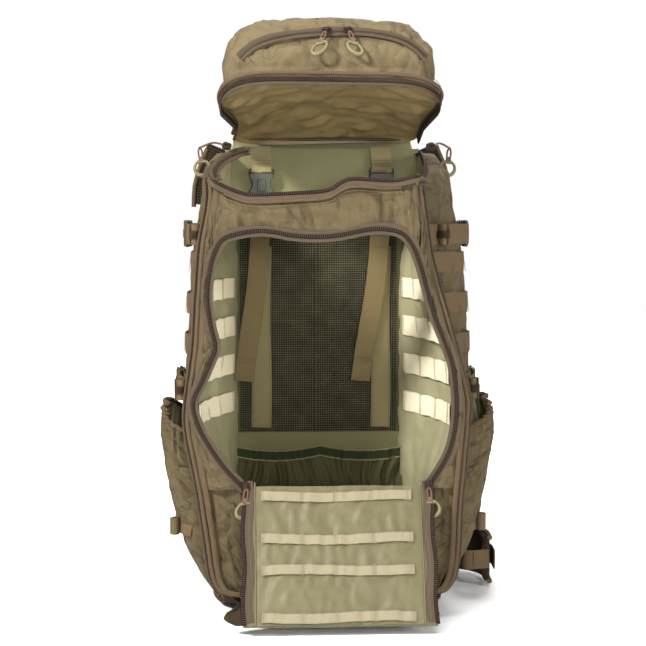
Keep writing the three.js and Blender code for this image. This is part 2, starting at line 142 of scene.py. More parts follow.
class Nodes:
    """A material's node tree, with short ways to add what the fabrics and plastics need."""

    def __init__(self, name, where="Object"):
        self.material = bpy.data.materials.new(name)
        self.material.use_nodes = True
        self.tree = self.material.node_tree
        self.shader = self.tree.nodes["Principled BSDF"]
        self.place = self.add("ShaderNodeTexCoord").outputs[where]

    def add(self, kind, **options):
        node = self.tree.nodes.new(kind)
        for key, value in options.items():
            setattr(node, key, value)
        return node

    def feed(self, socket, value):
        if isinstance(value, bpy.types.NodeSocket):
            self.tree.links.new(value, socket)
        else:
            is_colour = socket.type == "RGBA" and hasattr(value, "__len__") and len(value) == 3
            socket.default_value = (*value, 1) if is_colour else value

    def set(self, **values):
        for key, value in values.items():
            self.shader.inputs[key.replace("_", " ")].default_value = value

    def shade_to(self, socket, value):
        self.feed(self.shader.inputs[socket], value)

    def noise(self, scale, detail=3, roughness=0.55, place=None, stretch=(1, 1, 1)):
        mapping = self.add("ShaderNodeMapping")
        self.feed(mapping.inputs["Vector"], place or self.place)
        mapping.inputs["Scale"].default_value = stretch
        node = self.add("ShaderNodeTexNoise")
        self.feed(node.inputs["Vector"], mapping.outputs["Vector"])
        node.inputs["Scale"].default_value = scale
        node.inputs["Detail"].default_value = detail
        node.inputs["Roughness"].default_value = roughness
        return node.outputs["Fac"]

    def creases(self, scale, stretch=(1, 1, 1)):
        """Sharp little valleys where a noise crosses its middle, as in crumpled cloth."""
        spread = self.math("MULTIPLY_ADD", self.noise(scale, 3, 0.5, stretch=stretch), 2.0, -1.0)
        return self.math("POWER", self.math("ABSOLUTE", spread), 0.6)

    def math(self, operation, a, b=0.0, c=0.0):
        node = self.add("ShaderNodeMath", operation=operation)
        for socket, value in zip(node.inputs, (a, b, c)):
            self.feed(socket, value)
        return node.outputs[0]

    def ramp(self, factor, dark, light, low=0.3, high=0.7):
        node = self.add("ShaderNodeValToRGB")
        for element, place, colour in zip(node.color_ramp.elements, (low, high), (dark, light)):
            element.position = place
            element.color = (*colour, 1)
        self.feed(node.inputs["Fac"], factor)
        return node.outputs["Color"]

    def blend(self, factor, a, b, mode="MIX"):
        node = self.add("ShaderNodeMix", data_type="RGBA", blend_type=mode)
        self.feed(node.inputs["Factor"], factor)
        self.feed(node.inputs["A"], a)
        self.feed(node.inputs["B"], b)
        return node.outputs["Result"]

    def axes(self, place=None):
        node = self.add("ShaderNodeSeparateXYZ")
        self.feed(node.inputs[0], place or self.place)
        return node.outputs

    def wave(self, value, pitch):
        """A sine of that pitch in metres, from 0 to 1."""
        return self.math("MULTIPLY_ADD", self.math("SINE", self.math("MULTIPLY", value, TAU / pitch)), 0.5,
                         0.5)

    def attribute(self, name):
        return self.add("ShaderNodeAttribute", attribute_name=name).outputs["Fac"]

    def bump(self, height, distance, strength=1.0, under=None):
        node = self.add("ShaderNodeBump")
        self.feed(node.inputs["Height"], height)
        node.inputs["Distance"].default_value = distance
        node.inputs["Strength"].default_value = strength
        if under is not None:
            self.feed(node.inputs["Normal"], under)
        return node.outputs["Normal"]


def shaded(colour, amount):
    return tuple(max(0.0, channel * amount) for channel in colour)


def woven(name, colour, pitch=1.1, roughness=0.82, depth=0.25, wear=0.25, sheen=0.03, where="UV",
          crease=0.85):
    """A plain-woven cloth: crossing threads, uneven dye, paler worn edges and fine creases, with painted
    shade darkening the crease valleys.
    """
    n = Nodes(name, where)
    u, v, w = n.axes()
    threads = n.math("MULTIPLY", n.wave(u, pitch * MM), n.wave(v, pitch * MM))
    if where == "Object":
        threads = n.math("MULTIPLY", n.wave(n.math("ADD", u, v), pitch * MM),
                         n.wave(n.math("ADD", w, u), pitch * MM))
    broad = n.noise(9, 3)
    patchy = n.noise(120, 4, 0.7)
    slub = n.noise(900, 2, 0.6)
    tone = n.blend(0.5, n.ramp(broad, shaded(colour, 0.84), shaded(colour, 1.16)),
                   n.ramp(patchy, shaded(colour, 0.86), shaded(colour, 1.14)))
    tone = n.blend(0.35, tone, n.ramp(slub, shaded(colour, 0.7), shaded(colour, 1.25)))
    tone = n.blend(n.math("MULTIPLY", threads, 0.35), tone, shaded(colour, 1.3))
    folds = n.creases(13, (1, 1.5, 1))
    # painted shade: the colour darkens to 0.6 of its tone in the crease valleys
    tone = n.blend(n.math("MULTIPLY_ADD", folds, -0.35, 0.35), tone, shaded(colour, 0.6))
    worn = n.math("MULTIPLY", n.attribute("edge"), n.math("MULTIPLY", patchy, wear * 2))
    tone = n.blend(worn, tone, shaded(colour, 1.55))
    n.shade_to("Base Color", tone)
    n.shade_to("Roughness", n.math("MULTIPLY_ADD", patchy, 0.16, roughness - 0.08))
    n.set(Sheen_Weight=sheen, Sheen_Roughness=0.5, Specular_IOR_Level=0.1)
    broad_crease = n.bump(n.noise(15, 2, 0.5, stretch=(1.6, 1, 1)), 0.034, crease)
    middle = n.bump(folds, 0.006, crease, broad_crease)
    soft = n.bump(n.noise(75, 4, 0.6), 0.0026, crease, middle)
    n.shade_to("Normal", n.bump(threads, depth * MM, 0.9, soft))
    return n.material


def coated(name, colour, roughness=0.42, crinkle=0.8, gloss=0.5, where="UV"):
    """A lining with a smooth coat that catches the light on its fine crinkles."""
    n = Nodes(name, where)
    u, v, _ = n.axes()
    threads = n.math("MULTIPLY", n.wave(u, 0.7 * MM), n.wave(v, 0.7 * MM))
    broad = n.noise(11, 4)
    patchy = n.noise(80, 5, 0.65)
    tone = n.blend(0.5, n.ramp(broad, shaded(colour, 0.9), shaded(colour, 1.1)),
                   n.ramp(patchy, shaded(colour, 0.95), shaded(colour, 1.05)))
    tone = n.blend(n.math("MULTIPLY", threads, 0.2), tone, shaded(colour, 1.25))
    n.shade_to("Base Color", tone)
    n.shade_to("Roughness", n.math("MULTIPLY_ADD", patchy, 0.22, roughness - 0.1))
    n.set(Specular_IOR_Level=gloss)
    folds = n.add("ShaderNodeTexWave", wave_type="BANDS", bands_direction="X")
    n.feed(folds.inputs["Vector"], n.place)
    folds.inputs["Scale"].default_value = 4
    folds.inputs["Distortion"].default_value = 9
    folds.inputs["Detail"].default_value = 2
    folds.inputs["Detail Scale"].default_value = 1.2
    broad_crease = n.bump(n.noise(11, 1, 0.4, stretch=(1.6, 0.8, 1)), 0.012, crinkle)
    middle = n.bump(folds.outputs["Fac"], 0.0014, crinkle, broad_crease)
    fine = n.bump(n.noise(170, 4, 0.6), 0.0003, crinkle, middle)
    n.shade_to("Normal", n.bump(threads, 0.08 * MM, 0.6, fine))
    return n.material


def webbing(name, colour, roughness=0.75):
    """Woven tape: ribs across its width, a herringbone of fine threads and a darker tone towards its edges.
    """
    n = Nodes(name, "UV")
    u, v, _ = n.axes()
    ribs = n.wave(v, 1.5 * MM)
    slant = n.wave(n.math("ADD", n.math("ABSOLUTE", u), v), 1.2 * MM)
    weave = n.math("MULTIPLY", ribs, slant)
    patchy = n.noise(150, 4, 0.7)
    broad = n.noise(14, 2)
    tone = n.blend(0.5, n.ramp(patchy, shaded(colour, 0.82), shaded(colour, 1.14)),
                   n.ramp(broad, shaded(colour, 0.88), shaded(colour, 1.1)))
    tone = n.blend(n.math("MULTIPLY", weave, 0.45), shaded(colour, 0.84), tone)
    # the tape is darker towards its edges and sides
    tone = n.blend(n.math("MULTIPLY", n.attribute("edge"), 0.22), tone, shaded(colour, 0.6))
    n.shade_to("Base Color", tone)
    n.shade_to("Roughness", n.math("MULTIPLY_ADD", patchy, 0.2, roughness - 0.1))
    n.set(Specular_IOR_Level=0.08)
    n.shade_to("Normal", n.bump(weave, 0.35 * MM, 0.9))
    return n.material


def moulded(name, colour, roughness=0.5, grain=0.5, gloss=0.3):
    """Moulded plastic with a fine spark-eroded grain and scuffed, paler patches."""
    n = Nodes(name)
    scuff = n.noise(55, 5, 0.7)
    fine = n.noise(1500, 2)
    tone = n.blend(n.math("MULTIPLY", scuff, 0.3), colour, shaded(colour, 1.6))
    n.shade_to("Base Color", n.blend(0.2, tone, n.ramp(fine, shaded(colour, 0.8), shaded(colour, 1.2))))
    n.shade_to("Roughness", n.math("MULTIPLY_ADD", scuff, 0.25, roughness - 0.12))
    n.set(Specular_IOR_Level=gloss)
    n.shade_to("Normal", n.bump(fine, 0.06 * MM, grain))
    return n.material


def net(name, colour, painted_gap_shade, pitch=2.9, depth=0.5):
    """An open knitted net, drawn from its two sets of cords; the gaps between the cords are painted shade, a
    much darker colour for the shadow seen through them.
    """
    n = Nodes(name, "UV")
    u, v, _ = n.axes()
    cords = n.math("SMOOTH_MAX", n.wave(u, pitch * MM), n.wave(v, pitch * MM), 0.1)
    strands = n.ramp(cords, (0, 0, 0), (1, 1, 1), 0.78, 0.93)
    patchy = n.noise(40, 4, 0.6)
    # painted shade: the gaps between the cords take the dark gap colour
    tone = n.blend(strands, painted_gap_shade, n.ramp(patchy, shaded(colour, 0.75), shaded(colour, 1.3)))
    n.shade_to("Base Color", tone)
    n.set(Roughness=0.85, Specular_IOR_Level=0.08)
    n.shade_to("Normal", n.bump(cords, depth * MM, 0.8, n.bump(n.noise(22, 3), 0.003, 0.4)))
    return n.material


def thread(name, colour):
    n = Nodes(name)
    twist = n.noise(2500, 2)
    n.shade_to("Base Color", n.ramp(twist, shaded(colour, 0.75), shaded(colour, 1.25)))
    n.set(Roughness=0.7)
    n.shade_to("Normal", n.bump(twist, 0.1 * MM, 0.7))
    return n.material


COLOURS = {
    "shell": (0.115, 0.09, 0.05),
    # painted light: the hood's cloth is the shell's cloth made about 1.3 times lighter, for the light that
    # falls on the dome
    "hood": (0.15, 0.118, 0.068),
    "shell_dark": (0.045, 0.032, 0.018),
    "tape": (0.098, 0.076, 0.053),
    "binding": (0.12, 0.087, 0.053),
    "coil": (0.018, 0.011, 0.008),
    # painted highlight: the coil's teeth are a lighter copy of the coil's colour, for the light they catch
    "teeth": (0.062, 0.043, 0.031),
    "lining": (0.31, 0.292, 0.185),
    "lining_pale": (0.155, 0.148, 0.072),
    "flap": (0.11, 0.096, 0.051),
    "pale_cream": (0.92, 0.84, 0.64),
    "ceiling": (0.215, 0.163, 0.078),
    "mesh": (0.105, 0.099, 0.062),
    "webbing": (0.15, 0.108, 0.064),
    "sewn": (0.27, 0.232, 0.125),
    "hanging": (0.215, 0.17, 0.09),
    "cream": (0.27, 0.24, 0.165),
    "elastic": (0.05, 0.06, 0.03),
    "pocket": (0.076, 0.07, 0.032),
    "buckle": (0.06, 0.047, 0.024),
    "grey": (0.052, 0.054, 0.04),
    "ring": (0.13, 0.115, 0.058),
    "cord": (0.1, 0.052, 0.03),
    "belt": (0.04, 0.027, 0.018),
    "foam": (0.048, 0.036, 0.022),
}


def make_materials():
    c = COLOURS
    return {
        "shell": woven("cordura", c["shell"], crease=1.15),
        # painted light: the dome's cloth is a lighter copy of the shell's cloth
        "hood": woven("cordura_painted_lit", c["hood"], where="Object", crease=0.9),
        "shell_dark": woven("cordura_dark", c["shell_dark"]),
        "tape": webbing("zip_tape", c["tape"]),
        "binding": webbing("binding_tape", c["binding"]),
        "coil": moulded("zip_coil", c["coil"], 0.6, gloss=0.1),
        # painted highlight: the teeth are a lighter copy of the coil
        "teeth": moulded("zip_teeth_painted_highlight", c["teeth"], 0.55, gloss=0.12),
        "lining": coated("lining_cloth", c["lining"], 0.5, 0.4, 0.15),
        "lining_pale": coated("lining_cloth_pale", c["lining_pale"], 0.5, 0.6, 0.2),
        "flap": coated("flap_coating", c["flap"], 0.46, 0.5, 0.3),
        "ceiling": coated("ceiling_coating", c["ceiling"], 0.42, 0.6, 0.5, "Object"),
        # painted shade: the net's gaps are near black
        "mesh": net("pocket_net", c["mesh"], shaded(c["mesh"], 0.12)),
        # painted shade: the spacer mesh's gaps are a much darker copy of the pad colour
        "spacer": net("spacer_mesh", c["foam"], shaded(c["foam"], 0.25), 3.6, 0.8),
        "webbing": webbing("webbing_tan", c["webbing"]),
        "sewn": webbing("webbing_sewn", c["sewn"]),
        "hanging": webbing("webbing_hanging", c["hanging"]),
        "cream": webbing("webbing_cream", c["cream"]),
        "elastic": webbing("elastic_green", c["elastic"]),
        "pocket": coated("pocket_cloth", c["pocket"], 0.62, 0.4, 0.2),
        "pale_cream": webbing("webbing_pale_cream", c["pale_cream"]),
        "buckle": moulded("buckle_acetal", c["buckle"]),
        "grey": moulded("buckle_acetal_grey", c["grey"]),
        "ring": moulded("pull_ring", c["ring"], 0.42),
        "metal": moulded("slider_paint", shaded(c["coil"], 1.6), 0.35),
        "cord": thread("pull_cord", c["cord"]),
        "thread": thread("sewing_thread", shaded(c["tape"], 1.15)),
        "thread_dark": thread("sewing_thread_dark", shaded(c["webbing"], 0.7)),
        "thread_cream": thread("sewing_thread_cream", shaded(c["cream"], 0.8)),
        "belt": woven("belt_cloth", c["belt"], where="Object"),
        "foam": woven("pad_cloth", c["foam"], where="Object"),
        "spacer_pad": woven("pad_mesh", c["foam"], pitch=3.2, depth=0.9, where="Object"),
    }


# ---- mesh building -------------------------------------------------------------------------------------


def unit(v):
    return v / np.maximum(np.linalg.norm(v, axis=-1, keepdims=True), 1e-9)


def smooth(points, count=None, step=4.0, closed=False):
    """Points evenly spaced along a Catmull-Rom curve through the given ones."""
    p = np.array(points, float)
    ring = np.vstack([p[-1:], p, p[:2]]) if closed else np.vstack([2 * p[:1] - p[1:2], p,
                                                                   2 * p[-1:] - p[-2:-1]])
    t = np.linspace(0, 1, 12, endpoint=False)[:, None]
    fine = []
    for a, b, c, d in zip(ring, ring[1:], ring[2:], ring[3:]):
        bend, twist = 2 * a - 5 * b + 4 * c - d, 3 * b - a - 3 * c + d
        fine.append(0.5 * (2 * b + (c - a) * t + bend * t**2 + twist * t**3))
    fine = np.vstack([*fine, ring[-2:-1]])
    along = np.concatenate([[0], np.cumsum(np.linalg.norm(np.diff(fine, axis=0), axis=1))])
    count = count or max(3, int(along[-1] / step) + 1)
    want = np.linspace(0, along[-1], count)
    return np.stack([np.interp(want, along, fine[:, i]) for i in range(p.shape[1])], 1)


def directions(path, closed=False):
    """The unit tangent at each point of a path."""
    if closed:
        return unit(np.roll(path, -1, 0) - np.roll(path, 1, 0))
    return unit(np.gradient(path, axis=0))


def crumple(point, size, seed=0.0, fold=2.0):
    """Creased noise from about -1 to 1 at a point in millimetres: soft hollows with sharper ridges."""
    p = Vector((point[0], point[1], point[2])) / size + Vector((seed, 2.7 * seed, -seed))
    soft = noise.noise(p)
    ridge = 1 - fold * abs(noise.noise(p * 1.9 + Vector((7, 3, 1))))
    fine = noise.noise(p * 4.3)
    return 0.5 * soft + 0.45 * ridge + 0.18 * fine


def ruffle(points, size, amount, direction=None, seed=0.0, stretch=(1, 1, 1)):
    """The points pushed along their direction by creased noise of that size and amount in millimetres."""
    moved = np.array(points, float)
    flat = moved.reshape(-1, 3)
    out = np.broadcast_to(np.array(direction, float), moved.shape).reshape(-1, 3)
    for i, p in enumerate(flat.copy()):
        flat[i] = p + out[i] * amount * crumple(p * np.array(stretch), size, seed)
    return moved


class Piece:
    """One visible piece while it is built: points in millimetres, faces, cloth coordinates, materials."""

    def __init__(self):
        self.points, self.edges, self.faces, self.coords, self.kinds, self.soft = [], [], [], [], [], []

    def add(self, points, faces, coords, kind, soft=True, edge=None):
        start = len(self.points)
        self.points.extend(map(tuple, points))
        self.edges.extend(edge if edge is not None else [0.0] * len(points))
        for face, coord in zip(faces, coords):
            self.faces.append([start + i for i in face])
            self.coords.extend(coord)
            self.kinds.append(kind)
            self.soft.append(soft)

    def grid(self, rows, kind, thick=0.0, loop=False, back=None, cap=False):
        """Cloth through a grid of points. Its outside is to the left of a row as seen going up the rows."""
        g = np.array(rows, float)
        n_rows, n_cols = g.shape[:2]
        wide = n_cols + (1 if loop else 0)
        ring = np.concatenate([g, g[:, :1]], 1) if loop else g
        u = np.concatenate([[0], np.cumsum(np.linalg.norm(np.diff(ring, axis=1), axis=2).mean(0))])
        v = np.concatenate([[0], np.cumsum(np.linalg.norm(np.diff(g, axis=0), axis=2).mean(1))])
        u = (u - u[-1] / 2) * MM
        v = v * MM
        cells = [(i, j) for i in range(n_rows - 1) for j in range(wide - 1)]
        at = lambda i, j: i * n_cols + j % n_cols
        faces = [(at(i, j), at(i, j + 1), at(i + 1, j + 1), at(i + 1, j)) for i, j in cells]
        coords = [((u[j], v[i]), (u[j + 1], v[i]), (u[j + 1], v[i + 1]), (u[j], v[i + 1])) for i, j in cells]
        edge = np.zeros((n_rows, n_cols))
        edge[[0, -1]] = 1
        if not loop:
            edge[:, [0, -1]] = 1
        self.add(g.reshape(-1, 3), faces, coords, kind, edge=edge.reshape(-1))
        if cap:
            for row, order in ((0, -1), (n_rows - 1, 1)):
                corners = [at(row, j) for j in range(n_cols)][::order]
                self.add(g[row][::order], [range(n_cols)], [[(0, 0)] * len(corners)], kind, soft=False)
        if not thick:
            return
        across = np.gradient(ring, axis=1)[:, :n_cols]
        if loop:
            across = np.roll(g, -1, 1) - np.roll(g, 1, 1)
        normal = unit(np.cross(across, np.gradient(g, axis=0)))
        under = g - normal * thick
        flipped = [face[::-1] for face in faces]
        self.add(under.reshape(-1, 3), flipped, [c[::-1] for c in coords], back or kind,
                 edge=edge.reshape(-1))
        rim = []
        loops = [[(0, j) for j in range(wide)], [(n_rows - 1, j) for j in range(wide)][::-1]]
        if not loop:
            loops += [[(i, wide - 1) for i in range(n_rows)], [(i, 0) for i in range(n_rows)][::-1]]
        for loop_of in loops:
            rim += list(zip(loop_of, loop_of[1:]))
        points, quads, where = [], [], []
        for (i, j), (k, m) in rim:
            first = len(points)
            points += [under[i, j % n_cols], under[k, m % n_cols], g[k, m % n_cols], g[i, j % n_cols]]
            quads.append((first, first + 1, first + 2, first + 3))
            where.append(((u[j], v[i]), (u[m], v[k]), (u[m], v[k]), (u[j], v[i])))
        self.add(points, quads, where, kind, edge=[1.0] * len(points))

    def ribbon(self, path, normal, wide, thick, kind, crown=0.0, back=None):
        """A tape along a path whose face looks along normal."""
        path = np.array(path, float)
        normal = unit(np.broadcast_to(np.array(normal, float), path.shape))
        across = unit(np.cross(directions(path), normal))
        face = unit(np.cross(across, directions(path)))
        offsets = np.array([-1, -0.84, -0.4, 0, 0.4, 0.84, 1]) * wide / 2
        lift = crown * (1 - (offsets / (wide / 2)) ** 2)
        rows = path[:, None] + across[:, None] * offsets[None, :, None] + face[:, None] * lift[None, :, None]
        self.grid(rows, kind, thick, back=back)

    def tube(self, path, radius, kind, sides=8, closed=False):
        path = np.array(path, float)
        radius = np.broadcast_to(np.array(radius, float), len(path))
        along = directions(path, closed)
        up = np.array([0.0, 0.0, 1.0])
        if abs(along[0] @ up) > 0.9:
            up = np.array([0.0, 1.0, 0.0])
        rings = []
        for p, t, r in zip(path, along, radius):
            up = unit(up - t * (up @ t))
            side = np.cross(t, up)
            angles = np.arange(sides) * TAU / sides
            rings.append(p + r * (np.cos(angles)[:, None] * side + np.sin(angles)[:, None] * up))
        if closed:
            rings.append(rings[0])
        self.grid(rings, kind, loop=True, cap=not closed)

    def boxes(self, centres, along, up, size, kind, taper=1.0):
        """A small box at each centre, long along one direction and high along another."""
        centres = np.array(centres, float)
        along = unit(np.broadcast_to(np.array(along, float), centres.shape))
        side = unit(np.cross(along, np.broadcast_to(np.array(up, float), centres.shape)))
        rise = unit(np.cross(side, along))
        half = np.array(size, float) / 2
        corners = [(-1, -1), (1, -1), (1, 1), (-1, 1)]
        quads = [(0, 3, 2, 1), (4, 5, 6, 7), (0, 1, 5, 4), (1, 2, 6, 5), (2, 3, 7, 6), (3, 0, 4, 7)]
        for c, a, s, r in zip(centres, along, side, rise):
            low = [c + a * x * half[0] - s * y * half[1] - r * half[2] for x, y in corners]
            high = [c + a * x * half[0] * taper - s * y * half[1] * taper + r * half[2] for x, y in corners]
            self.add(low + high, quads, [[(0, 0)] * 4] * 6, kind, soft=False)

    def stitches(self, path, normal, kind="thread", pitch=3.4, lift=0.25):
        """A row of thread dashes that lie on a surface along a path."""
        path = smooth(path, step=pitch)
        normal = unit(np.broadcast_to(np.array(normal, float), path.shape))
        self.boxes(path + normal * lift, directions(path), normal, (pitch * 0.66, 0.7, 0.6), kind)

    def plate(self, outline, thick, kind, origin, x_axis, y_axis, bevel=0.8):
        """A moulded plate: an outline in its own plane, given a thickness and soft edges."""
        flat = np.array(outline, float)
        x, y = unit(np.array(x_axis, float)), unit(np.array(y_axis, float))
        z = np.cross(x, y)
        middle = (flat.max(0) + flat.min(0)) / 2
        reach = np.abs(flat - middle).max(0)
        inset = middle + (flat - middle) * (1 - bevel / np.maximum(reach, bevel * 1.5))
        levels = ((inset, -thick / 2), (flat, bevel - thick / 2), (flat, thick / 2 - bevel),
                  (inset, thick / 2))
        rows = [np.array(origin, float) + p[:, :1] * x + p[:, 1:] * y + z * h for p, h in levels]
        self.grid(rows, kind, loop=True, cap=True)

    def make(self, name, body="pack", replaces=()):
        mesh = bpy.data.meshes.new(name)
        mesh.from_pydata([(x * MM, y * MM, z * MM) for x, y, z in self.points], [], self.faces)
        layer = mesh.uv_layers.new(name="cloth")
        layer.data.foreach_set("uv", np.array(self.coords, np.float32).reshape(-1))
        edge = mesh.attributes.new("edge", "FLOAT", "POINT")
        edge.data.foreach_set("value", np.array(self.edges, np.float32))
        used = sorted(set(self.kinds))
        for kind in used:
            mesh.materials.append(MATERIALS[kind])
        mesh.polygons.foreach_set("material_index", [used.index(kind) for kind in self.kinds])
        mesh.polygons.foreach_set("use_smooth", self.soft)
        mesh.update()
        made = bpy.data.objects.new(name, mesh)
        bpy.context.scene.collection.objects.link(made)
        if replaces:
            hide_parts(*replaces)
        if body:
            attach(made, body)
        return made


# ---- the frame's places --------------------------------------------------------------------------------


def box(node):
    low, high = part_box(node)
    return np.array(low) / MM, np.array(high) / MM


def joint_at(name):
    found = next(joint for joint in frame["joints"] if joint["name"] == name)
    return np.array(found["pos_m"]) / MM


def tree_of(node):
    obj = bpy.data.objects[node]
    points = [obj.matrix_world @ v.co for v in obj.data.vertices]
    return BVHTree.FromPolygons(points, [tuple(p.vertices) for p in obj.data.polygons])


def ease(t):
    t = min(1.0, max(0.0, t))
    return t * t * (3 - 2 * t)


def mix(a, b, t):
    return a + (b - a) * t


def table(pairs):
    """A smooth function through (place, value) pairs."""
    places = [a for a, _ in pairs]
    line = smooth(pairs, step=2.0)
    return lambda at: float(np.interp(min(max(at, places[0]), places[-1]), line[:, 0], line[:, 1]))


PANEL = box("side_panel_left")
BACK_Y, FRONT_Y = box("back_panel")[1][1], box("front_panel")[0][1]
WALL_Y = box("mesh_panel")[0][1]
RIM_FRONT, RIM_BACK = box("front_panel")[1][2], PANEL[1][2]
TREES = {s: tree_of(f"side_panel_{side}") for side, s in SIDES}
# How far out the bag's front corners stand at each height. The right one is drawn in at its top.
CORNER = {
    -1: table([(10, 124), (50, 137), (98, 144), (157, 153), (216, 164), (251, 164), (309, 156), (368, 152),
               (431, 147),
               (483, 138), (523, 140)]),
    1: table([(10, 128), (60, 143), (131, 147), (225, 155), (261, 154), (332, 135), (413, 112), (466, 104),
              (510, 98)]),
}
# The unzipped edge of the front opening, (x, z), from its lower left round the top to its lower right.
OPENING = [(-101, 152), (-121, 173), (-137, 195), (-152, 221), (-160, 250), (-150, 275), (-140, 298),
           (-134, 316), (-139, 340), (-143, 372), (-140, 402), (-133, 426), (-120, 441), (-81, 448),
           (-40, 442), (0, 442), (38, 449), (58, 450), (79, 445), (92, 430), (101, 407), (109, 378),
           (119, 345), (130, 318), (139, 290), (143, 250), (141, 219), (134, 192), (122, 170), (110, 152)]
# The sagging front edge of the open mouth, (x, z).
MOUTH_FRONT = [(-134, 505), (-124, 499), (-104, 491), (-87, 489), (-40, 491), (-6, 494), (10, 503),
               (24, 507), (62, 505), (78, 506), (97, 511)]
mouth_z = table(MOUTH_FRONT)
opening_left = table([(z, -x) for x, z in OPENING[:13]])
opening_right = table([(z, x) for x, z in OPENING[:17:-1]])


def rim(y):
    """How high the mouth's side edge is at a depth."""
    t = (y - FRONT_Y) / (BACK_Y - FRONT_Y)
    return mix(RIM_FRONT + 3, RIM_BACK, ease(t)) + 4 * math.sin(3 * TAU * t)


def foot(x, y):
    """How high the rounded foot of the bag stands: it lifts at its front corners."""
    return 4 + 25 * ease((abs(x) - 88) / 42) * ease((-y - 55) / 62)


def cad_side(s, y, z):
    start = Vector((s * 0.4, min(max(y, -118), 106) * MM, min(max(z, 12), 495) * MM))
    hit = TREES[s].ray_cast(start, Vector((-s, 0, 0)))[0]
    return abs(hit.x) / MM if hit else 130.0


def side_x(s, y, z):
    """How far from the middle the outside of a side is."""
    outer = cad_side(s, y, z)
    return mix(CORNER[s](z), outer, ease((y + 114) / 95))


def wall_x(s, y, z):
    """How far from the middle the lining of a side hangs."""
    front = (opening_left if s < 0 else opening_right)(z) + 5
    if z > 440:
        front = mix(front, CORNER[s](z) - 9, ease((z - 440) / 30))
    back = mix(109, 118, ease((z - 400) / 140)) if s < 0 else mix(97, 122, ease((z - 380) / 130))
    t = (WALL_Y - y) / (WALL_Y - FRONT_Y)
    x = mix(back, front, t) + 14 * math.sin(math.pi * min(1, max(0, t))) * ease((z + 60) / 200)
    return min(x, side_x(s, y, z) - mix(10, 5, ease((t - 0.7) / 0.3)))


def mouth_x(s, y):
    """How far out the mouth's zip runs at a depth."""
    if s > 0:
        return mix(MOUTH_FRONT[-1][0], 120, ease((y - FRONT_Y) / 120))
    return mix(mix(-MOUTH_FRONT[0][0], 139, ease((y - FRONT_Y) / 50)), 116, ease((y + 40) / 100))


def on_side(s, y, z, lift=0.0):
    return np.array((s * (side_x(s, y, z) + lift), y, z))


def on_wall(s, y, z, lift=0.0):
    return np.array((s * (wall_x(s, y, z) - lift), y, z))


# ---- the shell -----------------------------------------------------------------------------------------


def make_side(side, s):
    """The outside of one side, creased where it hangs, and its lining."""
    shell = Piece()
    depths = np.linspace(-112, BACK_Y - 2, 40)[::s]
    rows = []
    for t in np.linspace(0, 1, 64):
        row = []
        for y in depths:
            z = mix(foot(130, y), rim(y), t)
            p = on_side(s, y, z)
            hang = 4.4 * crumple((y * 0.8, z * 1.3, 0), 62, 3 + s) + 1.7 * crumple((y, z, 0), 24, 9 + s)
            calm = min(1, (z - 4) / 40) * min(1, (y + 112) / 25 + 0.15)
            p[0] += s * (hang * calm - 1.2)
            turn = max(0, (t - 0.95) / 0.05)
            p[0] = mix(p[0], s * (mouth_x(s, y) + 1), turn**3)
            p[2] += 9 * math.sin(math.pi * turn)
            row.append(p)
        rows.append(row)
    shell.grid(rows, "shell", 1.6)
    shell.make(f"side_shell_{side}", replaces=[f"side_panel_{side}"])
    lining = Piece()
    depths = np.linspace(-119, WALL_Y + 7, 44)[::-s]
    rows = []
    for t in np.linspace(0, 1, 70):
        row = []
        for y in depths:
            z = mix(foot(130, y) + 4, rim(y) - 1, t)
            p = on_wall(s, y, z)
            p[0] -= s * (3.4 * crumple((y, z * 1.2, 0), 46, 5 + s) + 1.0 * crumple((y, z, 0), 17, 2))
            p[0] = mix(p[0], s * mouth_x(s, y), ease((t - 0.9) / 0.1))
            row.append(p)
        rows.append(row)
    lining.grid(rows, "lining", 1.2)
    made = lining.make(f"side_lining_{side}")


def ring_point(inner, outer, t):
    """A point of the front between the opening's edge and the front's own edge, bowed out between them."""
    x, z = mix(np.array(inner), np.array(outer), t)
    y = FRONT_Y + 2 + 5 * t * t - 2.5 * math.sin(math.pi * t)
    return np.array((x, y, z))


def front_edges(count):
    """The opening's edge and, beside each of its points, the outer edge of the front panel."""
    inner = smooth(OPENING, count)
    outer = []
    for x, z in inner:
        s = -1 if x < 0 else 1
        top_left, top_right = (-116, 437), (92, 430)
        if z < top_left[1] and x < 0 or z < top_right[1] and x > 0:
            lift = mix(-6, 62, ease((z - 300) / 137)) if x < 0 else mix(-6, 70, ease((z - 300) / 130))
            high = max(150, z + lift)
            outer.append((s * max(CORNER[s](high) - 1.5, abs(x) + 4), high))
        else:
            along = (x - top_left[0]) / (top_right[0] - top_left[0])
            wide = mix(MOUTH_FRONT[0][0] + 1, MOUTH_FRONT[-1][0] - 1, min(1, max(0, along)))
            outer.append((wide, mouth_z(wide)))
    return inner, np.array(outer)


def make_front():
    """The front panel, in cloth with its lining inside."""
    front = Piece()
    add_front_ring(front)
    add_front_low(front)
    front.make("front_cloth", replaces=["front_panel"])


